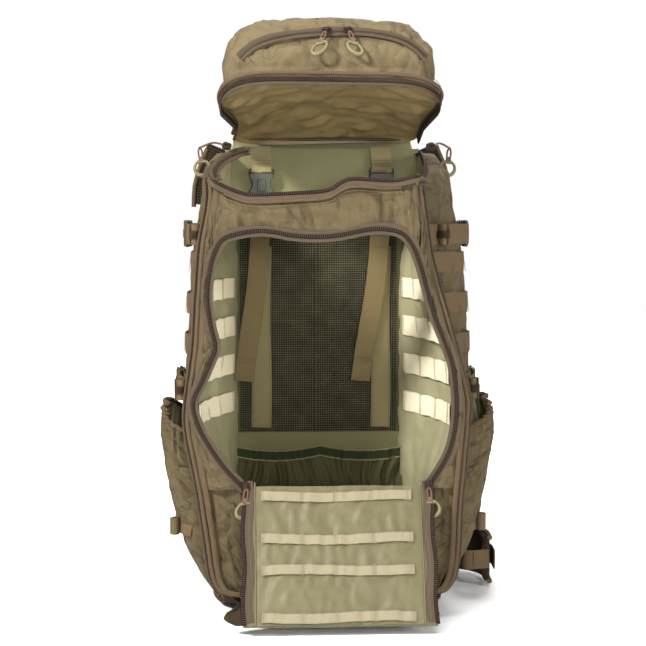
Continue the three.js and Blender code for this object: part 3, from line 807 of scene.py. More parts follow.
def add_front_ring(front):
    """The creased cloth between the opening and the panel's outer edge."""
    inner, outer = front_edges(150)
    weights = np.array([1, 4, 7, 9, 7, 4, 1]) / 33
    longer = np.vstack([np.repeat(outer[:1], 3, 0), outer, np.repeat(outer[-1:], 3, 0)])
    outer = np.stack([np.convolve(longer[:, i], weights, "valid") for i in range(2)], 1)
    rows = []
    for t in np.linspace(0, 1, 16):
        row = [ring_point(a, b, t) for a, b in zip(inner, outer)]
        for p in row:
            side = ease((abs(p[0]) - 70) / 40)
            stretched = (p[0] * mix(0.7, 1.6, side), 0, p[2] * mix(1.6, 0.8, side))
            folds = mix(8.5, 7.0, side) * crumple(stretched, 34, 4)
            p[1] -= folds * math.sin(math.pi * min(1, t + 0.12)) ** 0.5 * min(1, 3 * t + 0.1)
        rows.append(row)
    front.grid(rows, "shell", 1.6, back="lining")


def add_front_low(front):
    """The part below the opening, behind the hanging flap."""
    low = []
    for t in np.linspace(0, 1, 24):
        level = mix(5, 157, t)
        wide = CORNER[-1](level) - 1.5, CORNER[1](level) - 1.5
        row = []
        for x in np.linspace(-wide[0], wide[1], 46):
            z = mix(foot(x, FRONT_Y), 147 + 18 * ease((abs(x) - 94) / 22), t)
            bow = (FRONT_Y + 4) + 4 * abs(x / 140) ** 4 + 7 * (1 - t) ** 6
            calm = min(1, (1 - t) * 5)
            row.append((x, bow - 5 * calm * crumple((x * 1.3, 0, z * 0.8), 44, 6), z))
        low.append(row)
    front.grid(low, "shell", 1.6, back="lining")


def make_bottom():
    bottom = Piece()
    rows = []
    for y in np.linspace(BACK_Y - 1, FRONT_Y + 3, 30):
        row = []
        for t in np.linspace(-1, 1, 34):
            s = -1 if t < 0 else 1
            x = t * (side_x(s, y, 8) + 1)
            edge = max(abs(t), abs(y) / 122) ** 8
            row.append((x, y, foot(x, y) - 3.2 + 5 * edge + 0.5 * crumple((x, y, 0), 40, 8)))
        rows.append(row)
    bottom.grid(rows, "shell_dark", 1.5)
    flipped = [[(0.95 * x, 0.97 * y, z + 3.5) for x, y, z in row] for row in rows][::-1]
    bottom.grid(flipped, "lining", 1.0)
    bottom.make("bottom_cloth", replaces=["bottom_panel"])


WALL_LEFT, WALL_RIGHT, WALL_LOW, WALL_HIGH = -124, 122, 10, 549


def make_back():
    """The back panel, whose outside lies on the wearer."""
    outside = Piece()
    rows = []
    for z in np.linspace(4, 543, 60):
        wide = min(cad_side(1, 104, z), 134) - 2
        rows.append([(x, BACK_Y - 1.5 + 1.4 * crumple((x, 3, z), 60, 2), z)
                     for x in np.linspace(wide, -wide, 40)])
    outside.grid(rows, "shell", 2.0)
    for s in (-1, 1):
        line = smooth([(s * (cad_side(1, 104, z) - 6), BACK_Y + 0.5, z) for z in np.linspace(12, 540, 14)])
        outside.tube(line, 2.6, "binding")
        outside.stitches(line + np.array((-s * 6, 0.6, 0)), (0, 1, 0))
    outside.make("back_cloth", replaces=["back_panel"])
    make_back_wall()


def make_back_wall():
    """The pale lining inside the back panel, which sags near its top."""
    wall = Piece()
    rows = []
    for z in np.linspace(WALL_LOW, WALL_HIGH, 70):
        row = []
        for x in np.linspace(WALL_LEFT, WALL_RIGHT, 44):
            sag = 3.2 * crumple((x * 0.8, 0, z * 1.4), 44, 12) if z > 430 else 0.8 * crumple((x, 0, z), 50, 3)
            row.append((x, WALL_Y + 5 - sag, z))
        rows.append(row)
    wall.grid(rows, "lining_pale", 1.4)
    made = wall.make("back_lining", replaces=["inner_lining"])


# ---- zips, piping and pulls ----------------------------------------------------------------------------

TOOTH = 2.4
CORD_THICK = 1.15


def add_teeth(piece, path, normal, teeth="teeth", coil="coil"):
    """Coil teeth along a line: short cross bars on a cord."""
    path = smooth(path, step=TOOTH)
    normal = unit(np.broadcast_to(np.array(normal, float), path.shape))
    across = unit(np.cross(directions(path), normal))
    # the teeth take the lighter "teeth" colour, a painted highlight along the coil
    piece.boxes(path + normal * 0.7, across, normal, (3.6, 1.05, 1.8), teeth, taper=0.7)
    piece.ribbon(path, normal, 4.6, 1.0, coil)


def resample_like(normals, count):
    normals = np.array(normals, float)
    if normals.ndim == 1:
        return np.repeat(normals[None], count, 0)
    at = np.linspace(0, 1, len(normals))
    want = np.linspace(0, 1, count)
    return unit(np.stack([np.interp(want, at, normals[:, i]) for i in range(3)], 1))


def add_zip(piece, path, normal, out, tape=9.0, inner=0.0, shut=False):
    """One half of a zip: its coil on the line, and woven tape on the side that out points to (1 or -1)."""
    fine = smooth(path, step=TOOTH)
    normals = resample_like(normal, len(fine))
    across = unit(np.cross(directions(fine), normals)) * out
    facing = resample_like(normals, len(smooth(fine, step=TOOTH)))
    add_teeth(piece, fine, facing, *(("tape", "tape") if shut else ("teeth", "coil")))
    coarse = fine[::2]
    shift = across[::2] * (tape / 2 + 1.6)
    piece.ribbon(coarse + shift - normals[::2] * 0.2, normals[::2], tape, 0.8, "tape")
    piece.stitches((fine + across * (tape * 0.55 + 1.6))[::2], normals[0], "thread_dark", 3.0, 0.1)
    if inner:
        shift = -across[::2] * (inner / 2 + 1.4)
        piece.ribbon(coarse + shift - normals[::2] * 0.5, normals[::2], inner, 0.8, "tape")


def piping_path(points, amount=1.1, seed=0.0):
    """A line of piping that puckers along its seam."""
    line = smooth(points, step=4.0)
    return ruffle(line, 16, amount, (0.4, -1, 0.3), seed)


def add_slider(piece, at, along, normal):
    """A zip slider: a wedge-shaped body and the bridge its cord runs through."""
    at, along, normal = (np.array(v, float) for v in (at, along, normal))
    along, normal = unit(along), unit(normal)
    side = np.cross(along, normal)
    outline = [(-5, -2.4), (-3, -3.8), (3, -4.4), (5.4, -3.2), (5.4, 3.2), (3, 4.4), (-3, 3.8), (-5, 2.4)]
    piece.plate(outline, 1.4, "metal", at + normal * 2.4, along, side, 0.4)
    piece.plate(outline, 1.2, "metal", at - normal * 0.9, along, side, 0.4)
    bridge = [at + along * 3.4 + normal * 3, at + along * 2 + normal * 5.4, at - along * 2 + normal * 5.4,
              at - along * 3.4 + normal * 3]
    piece.tube(smooth(bridge, 9), 0.9, "metal", 6)


def add_ring_pull(piece, top, drop, across, ring=9.2):
    """A doubled cord that hangs from a slider to a moulded ring with a gap at its top."""
    top, drop, across = np.array(top, float), unit(np.array(drop, float)), unit(np.array(across, float))
    facing = np.cross(drop, across)
    length = 15.0
    for k in (-1, 1):
        shape = ((0, 0.5), (5, 2.2), (length, 1.8), (length + 4, 0.6))
        cord = [top + drop * down + across * apart * k for down, apart in shape]
        piece.tube(smooth(cord, 12), CORD_THICK, "cord", 7)
    piece.boxes([top + drop * (length - 1)], drop, facing, (7, 6.4, 4.6), "cord", 0.8)
    centre = top + drop * (length + ring + 1)
    angles = np.linspace(-0.42 * TAU, 0.42 * TAU, 30)
    bow = [centre + drop * math.cos(a) * ring + across * math.sin(a) * ring for a in angles]
    thick = [1.9 + 0.5 * math.cos(a) for a in angles]
    piece.tube(bow, thick, "ring", 9)
    grip = [centre - drop * (ring * 0.86) + across * x for x in (-5.4, 0, 5.4)]
    piece.tube(grip, 2.2, "ring", 9)


# ---- the mouth and the opening's zips ------------------------------------------------------------------


def mouth_side(s):
    """The line of the mouth's zip along one side, from the front corner to the hinge."""
    front = MOUTH_FRONT[0] if s < 0 else MOUTH_FRONT[-1]
    points = [(front[0], FRONT_Y + 1, front[1])]
    for y in (-100, -70, -30, 10, 50, 84, 108):
        points.append((s * mouth_x(s, y), y, rim(y) + 1))
    return points


def make_openings():
    make_opening_zip()
    make_mouth_zip()


def make_opening_zip():
    """The open zip round the front opening."""
    front = Piece()
    inner, _ = front_edges(150)
    path = [(x, FRONT_Y - 0.6, z) for x, z in inner]
    add_zip(front, path, (0, -1, 0), -1, 6, inner=5)
    front.make("zip_opening_cloth", replaces=["zip_opening"])


def make_mouth_zip():
    """The open zip round the mouth, the welt below its front, and its loose left end."""
    mouth = Piece()
    left, right = mouth_side(-1), mouth_side(1)
    across = [(x, FRONT_Y + 0.5 - 2.5 * math.sin(x / 13), z) for x, z in MOUTH_FRONT[1:-1]]
    line = left[::-1] + across + right
    facing = [(-0.6, 0, 1), (-0.3, -0.8, 0.6), (0, -1, 0.35), (0.3, -0.8, 0.6), (0.6, 0, 1)]
    add_zip(mouth, line, facing, 1, 6.5)
    welt = piping_path([np.array(p) + (0, -1.5, -9) for p in across], 1.0, 3)
    mouth.tube(welt, 1.9, "binding", 7)
    mouth.stitches(welt + np.array((0, -1, -4.5)), (0, -1, 0))
    # The zip's loose left end curls up out of the corner.
    curl = smooth([(-131, -116, 506), (-134, -104, 516), (-126, -88, 528), (-108, -74, 538), (-96, -60, 541)],
                  step=3)
    mouth.ribbon(curl, (0.3, -0.7, 0.6), 13, 1.0, "tape")
    add_teeth(mouth, curl, (0.3, -0.7, 0.6))
    mouth.make("zip_mouth_cloth", replaces=["zip_mouth"])


def make_corners():
    """The long outside zips down the front corners, with puckered piping and a binding beside each."""
    for side, s in SIDES:
        piece = Piece()
        heights = np.linspace(44, 500 if s > 0 else 508, 30)
        y = FRONT_Y + 9
        line = [(s * (CORNER[s](z) + 0.8), y, z) for z in heights]
        line = [(s * (CORNER[s](44) - 22), y - 6, 30), (s * (CORNER[s](44) - 8), y - 3, 32)] + line
        corner = piping_path(line, 1.3, 5 + s)
        piece.tube(corner, 3.1, "binding", 9)
        second = piping_path([np.array(p) + (s * -6.4, -6.5, 0) for p in line], 1.5, 8 + s)
        piece.ribbon(second, (s * 0.25, -1, 0), 6.4, 1.0, "binding", 1.4)
        dark = smooth([np.array(p) + (s * 3.6, 5.5, 0) for p in line], step=4)
        piece.ribbon(dark, (s, -0.55, 0), 9.5, 1.1, "tape")
        add_teeth(piece, dark + np.array((s * 0.6, -0.4, 0)), (s, -0.55, 0))
        third = piping_path([np.array(p) + (s * 5.4, 14, 0) for p in line], 1.2, 11 + s)
        piece.tube(third, 2.2, "binding", 8)
        piece.make(f"corner_zip_{side}")


# ---- the inside ----------------------------------------------------------------------------------------


NET_LEFT, NET_RIGHT = -110, 99


def make_inside():
    make_net()
    for side, s in SIDES:
        make_ladder_inside(side, s)
        make_sewn_strap(side, s)
        make_hanging_strap(side, s)
        make_inner_buckle(side, s)
    make_gathered_pocket()
    make_wall_band()


def make_net():
    """The net pocket on the back wall, bound at its sides, its middle and its top."""
    low, high = box("mesh_panel")
    net_piece = Piece()
    rows = []
    for z in np.linspace(low[2] - 8, high[2] + 3, 60):
        row = []
        for x in np.linspace(NET_LEFT, NET_RIGHT, 50):
            seam = 1.4 * math.exp(-(((x + 10) / 4) ** 2))
            row.append((x, WALL_Y - 0.4 - 1.6 * crumple((x, 0, z), 58, 21) - seam, z))
        rows.append(row)
    net_piece.grid(rows, "mesh", 0.9)
    for x in (-109, -10, 98):
        edge = [(x, WALL_Y - 3, z) for z in np.linspace(low[2] - 8, high[2] + 2, 20)]
        net_piece.ribbon(edge, (0, -1, 0), 7 if x != -10 else 4, 0.8, "pocket" if x != -10 else "mesh")
    top = [(x, WALL_Y - 3.2, high[2] + 1 + 1.2 * math.sin(x / 19)) for x in np.linspace(-110, 98, 30)]
    net_piece.ribbon(top, (0, -1, 0), 11, 1.0, "pocket")
    net_piece.stitches([np.array(p) + (0, -0.6, 3) for p in top], (0, -1, 0), "thread_dark")
    made = net_piece.make("mesh_net", replaces=["mesh_panel"])


ROWS = (374, 326, 278, 230)


def make_ladder_inside(side, s):
    ladder = Piece()
    for i, z in enumerate(ROWS):
        depths = np.linspace(-64 - 2 * i, 76, 30)
        sag = [2.4 * math.sin(math.pi * (y + 64) / 140) * math.sin(3 * y / 19) * 0.5 for y in depths]
        path = [on_wall(s, y, z + d * 0.6, 3.6) for y, d in zip(depths, sag)]
        ladder.ribbon(path, (-s, 0, 0), 25, 1.4, "pale_cream", 0.5)
        for y in (-60 - 2 * i, -14, 31, 72):
            for dy in (-1.6, 1.6):
                seam = [on_wall(s, y + dy, z + h, 4.3) for h in (-11.4, 0, 11.4)]
                ladder.stitches(seam, (-s, 0, 0), "thread_cream", 2.6)
    ladder.make(f"inner_ladder_{side}", replaces=[f"inner_webbing_{side}"])


def make_sewn_strap(side, s):
    strap = Piece()
    x = s * 76 - 3
    low, high = box(f"inner_strap_{side}")
    path = [(x + 0.8 * math.sin(z / 31), WALL_Y - 4 + 0.6 * math.sin(z / 23), z)
            for z in np.linspace(low[2] - 11, high[2], 40)]
    strap.ribbon(path, (0, -1, 0), 25, 1.5, "sewn", 0.3)
    for dx in (-10.4, 10.4):
        strap.stitches([np.array(p) + (dx, -0.7, 0) for p in path], (0, -1, 0), "thread_dark")
    strap.make(f"sewn_strap_{side}", replaces=[f"inner_strap_{side}"])


def make_hanging_strap(side, s):
    """The free strap that hangs down the back wall from its stitched top."""
    strap = Piece()
    top = joint_at(f"hanging_strap_{side}_swing")
    low, _ = box(f"hanging_strap_{side}")
    ends = np.array((s * 76 - 4, top[1] - 3, 444)), np.array((s * 76 - (23 if s < 0 else 27), top[1] - 5,
                                                              low[2] - 6))
    path = []
    for t in np.linspace(0, 1, 40):
        p = mix(ends[0], ends[1], t) + np.array((2.2 * math.sin(5 * t), -5 * math.sin(math.pi * t) * t, 0))
        path.append(p)
    lean = (0.16 * s, -1, 0.03)
    strap.ribbon(path, lean, 25, 1.6, "hanging", 0.5)
    fold = [p + np.array((0, -2.0, 0)) for p in path[-7:]]
    strap.ribbon(fold, lean, 24.4, 1.5, "hanging", 0.4)
    for i in (1, 4, 34, 38):
        cross = [path[i] + np.array((dx, -1.2 if i < 30 else -3.2, 0)) for dx in (-10.5, 0, 10.5)]
        strap.stitches(cross, (0, -1, 0), "thread_dark", 2.4)
    tack = [(s * 76 - 4, top[1] - 1, z) for z in np.linspace(444, top[2] + 1, 6)]
    strap.ribbon(tack, (0, -1, 0), 25, 1.6, "hanging", 0.3)
    strap.make(f"hanging_webbing_{side}", f"hanging_strap_{side}", [f"hanging_strap_{side}"])


def rounded(wide, high, corner, steps=4):
    """A rounded rectangle's outline about the origin."""
    points = []
    for turn, (sx, sy) in enumerate(((1, 1), (-1, 1), (-1, -1), (1, -1))):
        for i in range(steps + 1):
            a = (turn + i / steps) * math.pi / 2
            points.append((sx * (wide / 2 - corner) + corner * math.cos(a),
                           sy * (high / 2 - corner) + corner * math.sin(a)))
    return points


def add_socket(piece, origin, along, face, kind, wide=32.0, long=34.0, thick=10.0):
    """The socket half of a side-release buckle: a hollow shell, open at the sides for the plug's prongs."""
    origin, along, face = np.array(origin, float), unit(np.array(along, float)), unit(np.array(face, float))
    side = np.cross(along, face)
    half = wide / 2
    waist = [(0, -half + 1), (7, -half), (13, -half + 4), (20, -half + 4), (26, -half), (long, -half + 1.5)]
    outline = waist + [(x, -y) for x, y in waist[::-1]]
    for lift in (thick / 2 - 1.3, -thick / 2 + 1.3):
        piece.plate(outline, 2.4, kind, origin + face * lift, along, side, 0.8)
    piece.boxes([origin + along * 13.5 + side * k * (half - 4.9) for k in (-1, 1)], along, face,
                (11, 2, thick - 3), kind)
    piece.boxes([origin + along * (long - 11)], along, face, (9, wide - 9, thick - 3.4), kind, 0.95)
    for place in (long - 2.2, long + 5):
        bar = [origin + along * place + side * k * (half - 2) for k in (-1, 0, 1)]
        piece.tube(bar, 2.1, kind, 8)
    for k in (-1, 1):
        rail = [origin + along * x + side * k * (half - 2) for x in (long - 3, long + 5)]
        piece.tube(rail, 2.1, kind, 8)
    rib = [origin + along * x + face * (thick / 2 + 0.3) for x in (5, long - 7)]
    piece.boxes([mix(rib[0], rib[1], 0.5)], along, face, (long - 14, wide * 0.36, 1.2), kind, 0.86)


def add_plug(piece, origin, along, face, kind, wide=32.0, thick=10.0):
    """The plug half, with two sprung side prongs, a centre guide and two bars for its strap."""
    origin, along, face = np.array(origin, float), unit(np.array(along, float)), unit(np.array(face, float))
    side = np.cross(along, face)
    half = wide / 2
    outline = [(-14, -half + 1.5), (-12, -half), (-3, -half), (-1, -half + 2), (-1, half - 2), (-3, half),
               (-12, half),
               (-14, half - 1.5)]
    piece.plate(outline, thick - 3.5, kind, origin, along, side, 0.9)
    for k in (-1, 1):
        prong = [origin + along * x + side * k * (half - d) for x,
                 d in ((-2, 8), (4, 7.2), (9, 6), (12.6, 7.2))]
        piece.tube(smooth(prong, 9), [2.6, 2.5, 2.4, 2.4, 2.3, 2.3, 2.2, 1.8, 1.2], kind, 8)
    piece.boxes([origin + along * 5], along, face, (13, 3.4, 3.2), kind, 0.85)
    for place in (-18, -24):
        bar = [origin + along * place + side * k * (half - 1.6) for k in (-1, 0, 1)]
        piece.tube(bar, 2.2, kind, 8)
    for k in (-1, 1):
        rail = [origin + along * x + side * k * (half - 1.8) for x in (-13, -24)]
        piece.tube(rail, 2.1, kind, 8)


def make_inner_buckle(side, s):
    low, high = box(f"inner_buckle_{side}")
    x, y = s * 76 - 2, (low[1] + high[1]) / 2 - 2
    piece = Piece()
    add_socket(piece, (x, y, 488), (0, 0, 1), (0, -1, 0), "grey", 31, 30, 9)
    strap = [(x + 1.2 * math.sin(z / 9), WALL_Y - 3 + 0.4 * math.sin(z / 5), z)
             for z in np.linspace(519, 551, 16)]
    piece.ribbon(strap, (0, -1, 0), 26, 1.6, "sewn", 0.5)
    turn = [(x, y - 3.4, 526), (x, y - 4, 519), (x, y, 515), (x, y + 4, 519)]
    piece.ribbon(turn, (0, -1, 0.1), 25, 1.4, "sewn")
    for z in (530, 534):
        seam = [(x - 10, WALL_Y - 4.3, z), (x + 10, WALL_Y - 4.3, z)]
        piece.stitches(seam, (0, -1, 0), "thread_dark", 2.4, 0.5)
    piece.make(f"inner_clip_{side}", replaces=[f"inner_buckle_{side}"])


POCKET_ENDS = (-116, 108)
POCKET_TOP = box("gathered_pocket")[1][2] - 7


def make_gathered_pocket():
    """The flat pocket low on the back wall, drawn in by two swags of elastic."""
    low, high = box("gathered_pocket")
    cloth = Piece()
    rows = []
    top, ends = POCKET_TOP, POCKET_ENDS
    for t in np.linspace(0, 1, 40):
        row = []
        for x in np.linspace(*ends, 150):
            swag = 7 * abs(math.sin(math.pi * (x - ends[0]) / (ends[1] - ends[0]) * 2)) ** 0.8
            z = mix(low[2] + 2, top - swag, t)
            pleat = noise.noise(Vector((x / 5.5 + 1.6 * math.sin(z / 21 + x / 40), z / 60, 4)))
            gather = 12 * pleat * (0.35 + 0.65 * t) * (1 - 0.6 * ease((t - 0.9) / 0.1))
            belly = 11 * math.sin(math.pi * t) ** 0.7 + 3 * t
            row.append((x, WALL_Y - 2 - belly + gather, z))
        rows.append(row)
    cloth.grid(rows, "pocket", 1.2)
    for dz, kind, wide in ((0.5, "elastic", 12), (6.6, "sewn", 1.8), (-5.8, "sewn", 1.8)):
        edge = [np.array(p) + (0, -4.5 - (0.9 if wide < 3 else 0), dz) for p in rows[-1]]
        cloth.ribbon(smooth(edge, 110), (0, -1, 0.05), wide, 1.2, kind)
    made = cloth.make("gathered_pocket_cloth", replaces=["gathered_pocket"])


def make_wall_band():
    """The pale band across the back wall, above the gathered pocket."""
    band = Piece()
    rows = []
    for z in np.linspace(POCKET_TOP - 6, POCKET_TOP + 32, 8):
        rows.append([(x, WALL_Y + 0.5 - 1.2 * crumple((x, 0, z), 22, 5), z)
                     for x in np.linspace(POCKET_ENDS[0] - 2, POCKET_ENDS[1], 50)])
    band.grid(rows, "lining_pale", 1.0)
    band.make("wall_band")


# ---- the hood ------------------------------------------------------------------------------------------

HINGE = joint_at("hood_hinge")
TILT = math.radians(14)
HOOD_LONG, HOOD_BACK, HOOD_FRONT, HOOD_TOP = 234.0, 120.0, 131.0, 93.0
HOOD_CORNER = 0.30  # how square the hood's plan is: 0 is a square and 1 an ellipse
CEILING_REACH = 0.985  # how much of the plan the ceiling spans, inside the rim's zip
LID_ARC = [(-108, 640), (-98, 653), (-74, 665), (-36, 672), (-4, 675), (34, 675), (78, 668), (101, 655),
           (111, 641)]  # the lid zip's line on the dome, (x, z), from the front


def hood_at(x, f, u):
    """A point of the raised hood: across, forward from the hinge and up from its rim."""
    return np.array((x, HINGE[1] - f * math.cos(TILT) + u * math.sin(TILT),
                     HINGE[2] + f * math.sin(TILT) + u * math.cos(TILT)))


def power(value, exponent):
    return math.copysign(abs(value) ** exponent, value)


def hood_rim(angle):
    """The hood's outline in plan, (across, forward): square at the back and round at its front corners."""
    f = HOOD_LONG / 2 * (1 + power(math.sin(angle), HOOD_CORNER))
    wide = mix(HOOD_BACK, HOOD_FRONT, f / HOOD_LONG)
    return -wide * power(math.cos(angle), HOOD_CORNER), f


def pinch(x, f):
    """How far the rim's left side, and a little its right, is drawn in near the hinge."""
    drawn = -math.copysign(14 if x < 0 else 4, x) * ease((abs(x) - 60) / 40)
    return drawn * math.exp(-(((f - 75) / 48) ** 2))


def rim_wave(x, f):
    """How the soft rim droops and lifts along its length."""
    front = ease((f - 120) / 100)
    droop = 9 + 3.5 * math.cos(x / 62 + 0.3) - 13 * (abs(x) / HOOD_FRONT) ** 6
    return front * droop + 1.6 * math.sin(f / 21 + x / 40)


def hood_plan(across, ahead):
    """The hood's plan over a square from -1 to 1: (across, forward), and how near the rim it is, 1 on it."""
    near = max(abs(across), abs(ahead))
    corner = 2 / HOOD_CORNER
    round_off = near / max(1e-9, (abs(across) ** corner + abs(ahead) ** corner) ** (1 / corner))
    f = HOOD_LONG / 2 * (1 + ahead * round_off)
    return mix(HOOD_BACK, HOOD_FRONT, f / HOOD_LONG) * across * round_off, f, near


def dome_at(across, ahead):
    """A point on the hood's puffy top, over the same square."""
    x, f, near = hood_plan(across, ahead)
    rise = max(0.0, 1 - near**5) ** 0.2
    brim = 0.1 * ease(rise / 0.16) - 0.03 * math.sin(math.pi * min(1, rise / 0.75))
    x *= 1 - brim - 0.07 * rise**4
    f = HOOD_LONG / 2 + (f - HOOD_LONG / 2) * (1 - brim - 0.05 * rise**3)
    top = mix(HOOD_TOP - 22, HOOD_TOP + 3, ease(f / 150))
    return x + pinch(x, f) * (1 - ease(top * rise / 22)), f, top * rise


def make_hood():
    dome = Piece()
    heights = np.concatenate([np.linspace(0, 0.9, 22),
                              (0.93, 0.955, 0.972, 0.985, 0.993, 0.997, 0.9992, 0.9999, 1)])
    half = [max(0.0, 1 - h**5) ** 0.2 for h in heights]
    steps = np.array([-step for step in half] + half[-2::-1])
    middle = hood_at(0, HOOD_LONG / 2, 20)
    rows = []
    for ahead in steps[::-1]:
        row = []
        for across in steps:
            x, f, u = dome_at(across, ahead)
            p = hood_at(x, f, u + rim_wave(x, f) * (1 - u / HOOD_TOP))
            puff = 8 * crumple(p * (1.2, 1, 0.8), 62, 31) + 5 * crumple(p * (1.5, 1, 0.7), 34, 14)
            row.append(p + unit(p - middle) * puff * min(1, u / 24 + 0.12))
        rows.append(row)
    # the dome takes the painted-light "hood" colour, a lighter copy of the shell's cloth
    dome.grid(rows, "hood", 1.6, back="ceiling")
    dome.make("hood_dome", "hood", ["lid_pocket", "hood_shell"])
    make_ceiling()
    make_rim_zip()
    make_lid_zip()


def make_ceiling():
    """The coated lining under the hood: it billows from the rim and hangs in creases."""
    ceiling = Piece()
    rows = []
    for ahead in np.linspace(-CEILING_REACH, CEILING_REACH, 56):
        row = []
        for across in np.linspace(-CEILING_REACH, CEILING_REACH, 60):
            x, f, near = hood_plan(across, ahead)
            u = 4 + 16 * ease((0.97 - near) / 0.6)
            p = hood_at(x + pinch(x, f) * near, f, u + rim_wave(x, f) * near)
            broad = 9 * crumple((p[0] * 0.8 + p[1], p[1] * 1.5, 0), 50, 17)
            crease = broad + 3 * crumple((p[0], p[1], 0), 21, 6)
            row.append(p + np.array((0, 0, crease * min(1, (1 - near) * 9))))
        rows.append(row)
    ceiling.grid(rows, "ceiling", 1.0)
    hem = [hood_at(x, 8 + 1.5 * math.sin(x / 16), 3.5) for x in np.linspace(-113, 113, 50)]
    ceiling.tube(hem, 2.0, "binding", 7)
    made = ceiling.make("hood_ceiling", "hood")


def make_rim_zip():
    """The zip round the hood's rim, with its piping and stitching."""
    rim_zip = Piece()
    angles = np.linspace(-0.28, math.pi + 0.28, 150)
    line, outward = [], []
    for a in angles:
        x, f = hood_rim(a)
        x += pinch(x, f)
        line.append(hood_at(x, f, -4 + rim_wave(x, f)))
        outward.append(unit(hood_at(x, f, 0) - hood_at(0, HOOD_LONG / 2, -20)))
    line = smooth(line, 150)
    piping = [p + np.array((0, 0, 7)) + n * 1.6 for p, n in zip(line, outward)]
    rim_zip.tube(ruffle(smooth(piping, step=4), 18, 0.9, (0, -1, 0.4), 2), 2.3, "binding", 8)
    add_zip(rim_zip, line, outward, -1, 5, inner=4.5)
    upper = [p + np.array((0, 0, 12.5)) + n * 0.9 for p, n in zip(line, outward)]
    rim_zip.stitches(upper, outward[75])
    rim_zip.make("zip_hood_cloth", "hood", ["zip_hood"])


def averaged(values, reach=6):
    """Each value as the mean of its neighbours, up to reach away on both sides."""
    ends = [values[0]] * reach + values + [values[-1]] * reach
    return [np.mean(ends[i : i + 2 * reach + 1], axis=0) for i in range(len(values))]


def make_lid_zip():
    """The lid pocket's closed zip, laid on the front of the dome, and the two rings that pull it."""
    arc = Piece()
    inside = bpy.data.objects["hood_dome"]
    dome = BVHTree.FromPolygons([v.co for v in inside.data.vertices],
                                [tuple(f.vertices) for f in inside.data.polygons])
    points, normals = [], []
    for x, z in smooth(LID_ARC, 80):
        start, ahead = Vector((x * MM, -0.3, z * MM)), Vector((0, 1, 0))
        hit, normal = dome.ray_cast(start, ahead)[:2]
        if hit is None:
            continue
        points.append(np.array(hit) / MM + np.array(normal) * 1.0)
        normals.append(np.array(normal))
    points = [p + np.array((0, -3.2, 1.2)) for p in averaged(points)]
    normals = [unit(n) for n in averaged(normals)]
    add_zip(arc, points, normals, 1, 4.5, inner=4.5, shut=True)
    arc.make("zip_lid_cloth", "hood", ["zip_lid_pocket"])
    middle = len(points) // 2
    for (side, s), drop in zip(SIDES, ((-0.35, -0.62, -1), (0.25, -0.62, -1))):
        puller = Piece()
        at = points[middle + s * 4 + 1]
        add_slider(puller, at, (1, 0, 0.05), normals[middle])
        add_ring_pull(puller, at + np.array((s * 2, -7, -1)), drop, (1, -0.1, -0.3 * s), 8.6)
        puller.make(f"lid_ring_{side}", f"lid_pull_{side}", [f"lid_pull_{side}"])


def make_hood_hinge():
    """The cloth that joins the hood to the back panel."""
    strip = Piece()
    rows = []
    for t in np.linspace(0, 1, 14):
        row = []
        for x in np.linspace(118, -118, 50):
            low = np.array((x, BACK_Y - 1 - 1.2 * crumple((x, 0, 3), 30, 4), 538))
            high = hood_at(x * 0.92, -1, 24)
            bend = 3 * math.sin(math.pi * t)
            row.append(mix(low, high, t) + np.array((0, bend, 0)))
        rows.append(row)
    strip.grid(rows, "shell", 1.6, back="lining_pale")
    made = strip.make("hood_hinge_cloth", None)
    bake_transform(made)


# ---- the front flap ------------------------------------------------------------------------------------

FLAP_HINGE = joint_at("flap_hinge")
FOLD = joint_at("flap_fold")
FLAP_DOWN = unit(FOLD - FLAP_HINGE)
FLAP_OUT = np.cross(np.array((1, 0, 0)), FLAP_DOWN)
FLAP_OUT = FLAP_OUT if FLAP_OUT[1] < 0 else -FLAP_OUT
FLAP_LONG = float(np.linalg.norm(FOLD - FLAP_HINGE))
FLAP_HALF, FLAP_MIDDLE = 108.0, 5.0
FOLDED_LONG = 118  # the flap's upper half, folded up behind the hanging half
FLAP_ROWS = (21, 71, 107, 160)
FLAP_TACKS = (-86, -42, -4, 38, 80)


def flap_at(x, d, lift=0.0):
    """A point of the hanging flap: across, down from its hinge, and out from its coated face."""
    return np.array((x + FLAP_MIDDLE, *FLAP_HINGE[1:])) + FLAP_DOWN * d + FLAP_OUT * lift


def flap_relief(x, d):
    folds = 5.0 * crumple((x * 1.4, d * 0.8, 0), 44, 3) + 1.8 * crumple((x, d, 0), 18, 8)
    edge = min(1, max(0, (FLAP_HALF - abs(x) - 12) / 18))
    return folds * edge * min(1, d / 26 + 0.2) + 2.5 * math.sin(math.pi * d / FLAP_LONG)


def make_flap():
    make_flap_lower()
    make_flap_ladder()
    make_flap_upper()
    make_flap_hinge()
    make_flap_fold()
    make_flap_corners()


def make_flap_lower():
    """The hanging half: its coated cloth, the tape and teeth down both sides, and a seam beside them."""
    lower = Piece()
    rows = []
    for d in np.linspace(FLAP_LONG, 8, 60):
        rows.append([flap_at(x, d, flap_relief(x, d)) for x in np.linspace(-FLAP_HALF, FLAP_HALF, 70)])
    lower.grid(rows, "flap", 1.4, back="shell")
    for s in (-1, 1):
        line = [flap_at(s * (FLAP_HALF - 0.5), d, flap_relief(s * FLAP_HALF, d) + 1.5)
                for d in np.linspace(2, FLAP_LONG, 40)]
        line = [p + np.array((1.2 * math.sin(i / 3), 0, 0)) for i, p in enumerate(line)]
        add_zip(lower, line, FLAP_OUT, s, 9.0)
        seam = [flap_at(s * (FLAP_HALF - 13.5), d, flap_relief(s * (FLAP_HALF - 13), d) + 0.6)
                for d in np.linspace(3, FLAP_LONG, 30)]
        lower.tube(smooth(seam, step=5), 1.0, "flap", 6)
    made = lower.make("flap_cloth", "flap_lower", ["flap_lower"])


